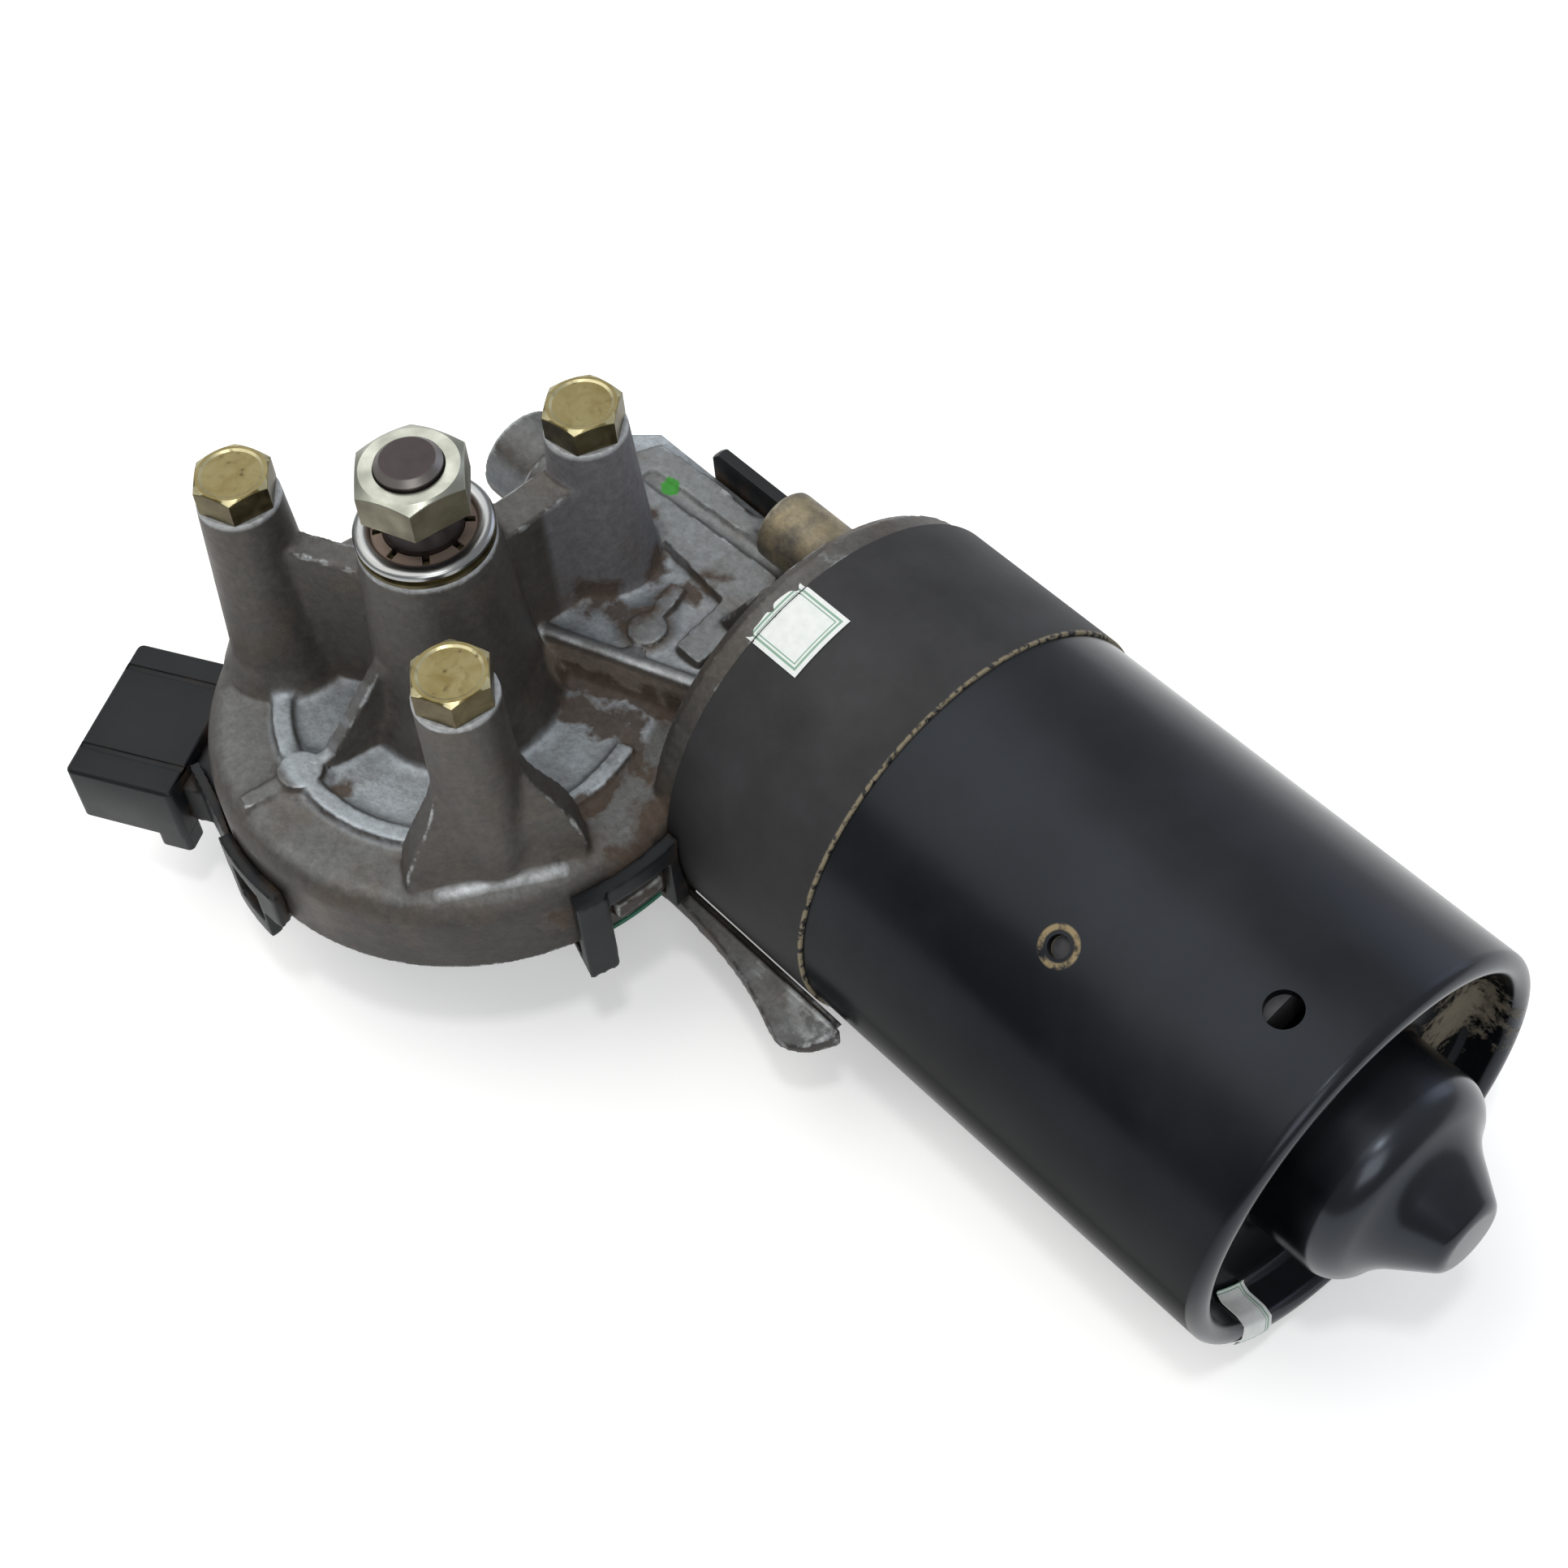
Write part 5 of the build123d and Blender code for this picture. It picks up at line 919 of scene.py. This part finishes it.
def true_round(obj, radii):
    """Points the normals of a turned shell's straight walls along their radius, so that they shine true."""
    mesh = obj.data
    for face in mesh.polygons:
        face.use_smooth = True
    mesh.set_sharp_from_angle(angle=math.radians(35))
    corner_normals = [Vector(n.vector) for n in mesh.corner_normals]
    for face in mesh.polygons:
        from_axis = Vector((0, face.center.y - axis_y, face.center.z - axis_z))
        facing_out = face.normal.dot(from_axis.normalized())
        if abs(face.normal.x) > 0.02 or abs(facing_out) < 0.99:
            continue
        side = 1 if facing_out > 0 else -1
        for loop in face.loop_indices:
            spot = mesh.vertices[mesh.loops[loop].vertex_index].co
            out = Vector((0, spot.y - axis_y, spot.z - axis_z))
            if any(abs(out.length - r) < 2e-5 for r in radii):
                corner_normals[loop] = out.normalized() * side
    mesh.normals_split_custom_set([tuple(n) for n in corner_normals])


can = turn_profile("drawn_can", outer + inner, gloss_black)
drill(can, vent_x, vent_axis, vent_r)
drill(can, rivet_x, rivet_axis, rivet_r)
true_round(can, (can_r / 1000, (can_r - can_wall) / 1000))
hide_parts("motor_can")
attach(can, "root")

# The flux ring, a rolled steel sleeve pressed over the can's open end. It is sprayed thin matt black,
# which has chalked to a warm charcoal, and its edge at the can is chipped to bare, dusty metal.

matt_black, tree, shader, where = finish("chalked_matt_black_paint", "#28282A", 0.0, 0.62)
cloud = add(tree, "TexNoise", {"Vector": where, "Scale": per_mm(16), "Detail": 7.0, "Roughness": 0.6})
cloud = add(tree, "MapRange", {"Value": cloud, "From Min": 0.3, "From Max": 0.7})
base = add(tree, "Mix", {0: cloud, 6: "#232324", 7: "#353537"}, data_type="RGBA")
# The downward faces are painted darker, a painted shade.
shaded = add(tree, "MapRange", {"Value": upward(tree), "From Min": 0.62, "From Max": 0.0, "To Max": 0.86})
base = add(tree, "Mix", {0: shaded, 6: base, 7: "#151414"}, data_type="RGBA")
station = add(tree, "SeparateXYZ", {0: where}, "X")
at_edge = add(tree, "MapRange", {"Value": station, "From Min": 0.0690, "From Max": 0.0693})
chips = add(tree, "TexNoise", {"Vector": where, "Scale": per_mm(1.0), "Detail": 4.0})
chips = add(tree, "MapRange", {"Value": chips, "From Min": 0.40, "From Max": 0.5})
chips = add(tree, "Math", {0: chips, 1: at_edge}, operation="MULTIPLY")
chipped = add(tree, "Mix", {0: chips, 6: base, 7: "#7C735F"}, data_type="RGBA")
grain = add(tree, "TexNoise", {"Vector": where, "Scale": per_mm(0.6), "Detail": 3.0})
grain = add(tree, "Bump", {"Height": grain, "Strength": 0.25, "Distance": 0.0001})
fit(shader, {"Base Color": chipped, "Specular IOR Level": 0.25, "Normal": grain})
sleeve_r, sleeve_x1, sleeve_bore = 34.95, 69.6, can_r + 0.02
sleeve_line = [(can_x0, sleeve_r - 0.2), (can_x0 + 0.2, sleeve_r), (sleeve_x1 - 0.3, sleeve_r)]
sleeve_line += arc(sleeve_x1 - 0.3, sleeve_r - 0.3, 0.3, 75, 0, 5)
sleeve_line += [(sleeve_x1, sleeve_bore), (can_x0, sleeve_bore)]
sleeve = turn_profile("flux_ring", sleeve_line, matt_black)
true_round(sleeve, (sleeve_r / 1000,))
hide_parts("can_sleeve")
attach(sleeve, "root")

# Two paper seals, one across the ring's edge and the casting, and one folded over the can's rim into
# the recess. They are white with a thin green double border and are otherwise bare, creased and dusty.

seal_side, rim_seal_size, paper_wall = 11.5, (10.6, 8.0), 0.00009
seal_paper, tree, shader, _ = finish("white_printed_paper", "#CFD3CF", 0.0, 0.55)
sheet = add(tree, "UVMap", uv_map="sheet")
lines = 0.0
for inset, thick in ((0.9, 0.16), (1.5, 0.08)):
    sides = []
    for axis_name in "XY":
        side = add(tree, "SeparateXYZ", {0: sheet}, axis_name)
        side = add(tree, "Math", {0: side, 1: seal_side / 2}, operation="SUBTRACT")
        side = add(tree, "Math", {0: side}, operation="ABSOLUTE")
        sides.append(add(tree, "Math", {0: side, 1: seal_side / 2 - inset}, operation="SUBTRACT"))
    edge = add(tree, "Math", {0: sides[0], 1: sides[1]}, operation="MAXIMUM")
    edge = add(tree, "Math", {0: edge}, operation="ABSOLUTE")
    line = add(tree, "MapRange", {"Value": edge, "From Min": thick + 0.05, "From Max": thick})
    lines = add(tree, "Math", {0: lines, 1: line}, operation="MAXIMUM")
fibre = add(tree, "TexNoise", {"Vector": sheet, "Scale": 0.7, "Detail": 6.0})
paper = add(tree, "Mix", {0: fibre, 6: "#CDD1CE", 7: "#E9ECEA"}, data_type="RGBA")
fit(shader, {"Base Color": add(tree, "Mix", {0: lines, 6: paper, 7: "#7FA08D"}, data_type="RGBA")})


def paper_seal(name, across, along_it, place, torn):
    """A thin sheet laid over a shape. place gives its point, in millimetres across and along the sheet,
    and torn says how far its near edge is torn in."""
    steps = 26
    form = bmesh.new()
    layer = form.loops.layers.uv.new("sheet")
    grid = []
    for i in range(steps + 1):
        row = []
        for j in range(steps + 1):
            v = along_it * j / steps
            u = torn(v) + (across - torn(v)) * i / steps
            row.append((form.verts.new(place(u, v)), u, v))
        grid.append(row)
    for i in range(steps):
        for j in range(steps):
            corners = (grid[i][j], grid[i + 1][j], grid[i + 1][j + 1], grid[i][j + 1])
            face = form.faces.new([c[0] for c in corners])
            for loop, corner_point in zip(face.loops, corners):
                loop[layer].uv = corner_point[1:]
    obj = made(form, name)
    wall = obj.modifiers.new("thickness", "SOLIDIFY")
    wall.thickness = paper_wall
    wall.offset = 0.0
    settle(obj)
    use(obj, seal_paper, 50)
    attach(obj, "root")


def on_flange(u, v):
    """Across the ring's edge: u runs along the can, v round it."""
    x = 38.0 + u
    drop = min(1.0, max(0.0, (40.6 - x) / 1.2))
    r = 35.12 - drop * drop * (3 - 2 * drop) * 0.86
    return on_can(x / 1000, 115.6 - math.degrees(v / 35.0), r / 1000)


fold = [(147.0, 34.55), (147.85, 33.7), (148.0, 32.6), (147.3, 31.1), (145.6, 30.6),
        (142.6, 30.6), (141.3, 30.1), (140.85, 28.8), (140.8, 25.0)]


def over_rim(u, v):
    """Over the rim and down into the recess: u follows the fold, v runs round the can."""
    left = u
    for (xa, ra), (xb, rb) in zip(fold, fold[1:]):
        run = math.hypot(xb - xa, rb - ra)
        if left <= run or (xb, rb) == fold[-1]:
            x, r = xa + (xb - xa) * left / run, ra + (rb - ra) * left / run
            return on_can(x / 1000, -122 - math.degrees(v / 31.0), r / 1000)
        left -= run


def torn_edge(v):
    """The ring's seal is torn in two bites along the casting."""
    return 0.3 + 0.9 * max(0.0, math.sin(v * 1.3 + 0.6)) ** 4 + 0.25 * math.sin(v * 0.7)


paper_seal("ring_seal", seal_side, seal_side, on_flange, torn_edge)
paper_seal("rim_seal", *rim_seal_size, over_rim, lambda v: 0.4 + 0.3 * math.sin(v * 2.7))

# The worm wheel and the thrust plug, moulded in natural acetal: creamy white, waxy, a little greasy.

waxy = {"Scale": per_mm(10), "Detail": 3.0}
white_acetal = two_tone("natural_acetal", "#D9D2BE", 0.0, 0.4, "#CFC6AC", "#E2DDCC", waxy)
dress(white_acetal, "worm_wheel", "thrust_plug")

# The park switch's disc and springs, the connector's blades and the brush boxes, stamped in half hard
# brass strip, which is bright with faint rolling streaks and brown tarnish.

tarnish = {"Scale": per_mm(6), "Detail": 5.0}
brass = two_tone("rolled_brass_strip", "#C9A75A", 1.0, 0.3, "#A9853F", "#D9BC78", tarnish)
dress(brass, "park_disc", "contact_springs", "connector_pins", "brush_holders")

# The spindle's bushes and the armature's, pressed from bronze powder and soaked in oil: dull brown
# gold with fine open pores.

pores = {"Scale": per_mm(0.5)}
bronze = two_tone("sintered_bronze", "#8A6A42", 0.85, 0.5, "#5E4427", "#9C7B50", pores, "TexVoronoi")
dress(bronze, "spindle_bushes", "tunnel_bush", "rear_bush")

# The spindle's lip seal, moulded in nitrile rubber: matt black with a faint bloom.

bloom = {"Scale": per_mm(2), "Detail": 4.0}
nitrile = two_tone("nitrile_rubber", "#161616", 0.0, 0.75, "#111111", "#222221", bloom)
dress(nitrile, "spindle_seal")

# The armature. Silicon steel laminations half a millimetre thick are stacked on the shaft, wound with
# lacquered copper wire, and joined to a copper commutator.

sheet_mm, wire_mm = 0.5, 0.6
sheets = {"Scale": per_mm(sheet_mm) / 20}
laminations = two_tone("silicon_steel_laminations", "#6C6D70", 0.9, 0.4, "#56575A", "#85878A",
                       sheets, "TexWave", out="Fac", bands_direction="X")
dress(laminations, "armature_core")
winding_wire, tree, shader, where = finish("lacquered_copper_wire", "#8E4A24", 0.8, 0.3)
turns = add(tree, "TexWave", {"Vector": where, "Scale": per_mm(wire_mm) / 20, "Distortion": 1.5}, "Fac",
            bands_direction="DIAGONAL")
fit(shader, {
    "Base Color": add(tree, "Mix", {0: turns, 6: "#5C2A12", 7: "#B4673A"}, data_type="RGBA"),
    "Normal": add(tree, "Bump", {"Height": turns, "Strength": 0.6, "Distance": 0.0003}),
})
dress(winding_wire, "armature_windings", "suppression_chokes")
filmy = {"Scale": per_mm(4), "Detail": 4.0}
copper_bar = two_tone("turned_copper", "#B4703F", 1.0, 0.3, "#7E4A2C", "#C68A5C", filmy)
dress(copper_bar, "commutator")

# The pole magnets, sintered ferrite ground on both faces: dense charcoal grey with a dry, fine grain.

grit = {"Scale": per_mm(0.8), "Detail": 4.0}
ferrite = two_tone("ground_ferrite", "#3A3A3D", 0.1, 0.6, "#2E2E31", "#48484B", grit)
dress(ferrite, "pole_magnets")

# The brush gear. A board of brown paper laminate, mottled by its fibres, carries the brushes, which are
# copper graphite and grey black, and the leaf springs that press them in.

fibres = {"Scale": per_mm(1.6), "Detail": 5.0}
paper_board = two_tone("phenolic_paper_board", "#5B3820", 0.0, 0.5, "#472A16", "#6E4629", fibres)
dress(paper_board, "brush_plate")
grit = {"Scale": per_mm(0.4), "Detail": 3.0}
graphite = two_tone("copper_graphite", "#2B2624", 0.3, 0.55, "#1C1A1A", "#4A3328", grit)
dress(graphite, "carbon_brushes")
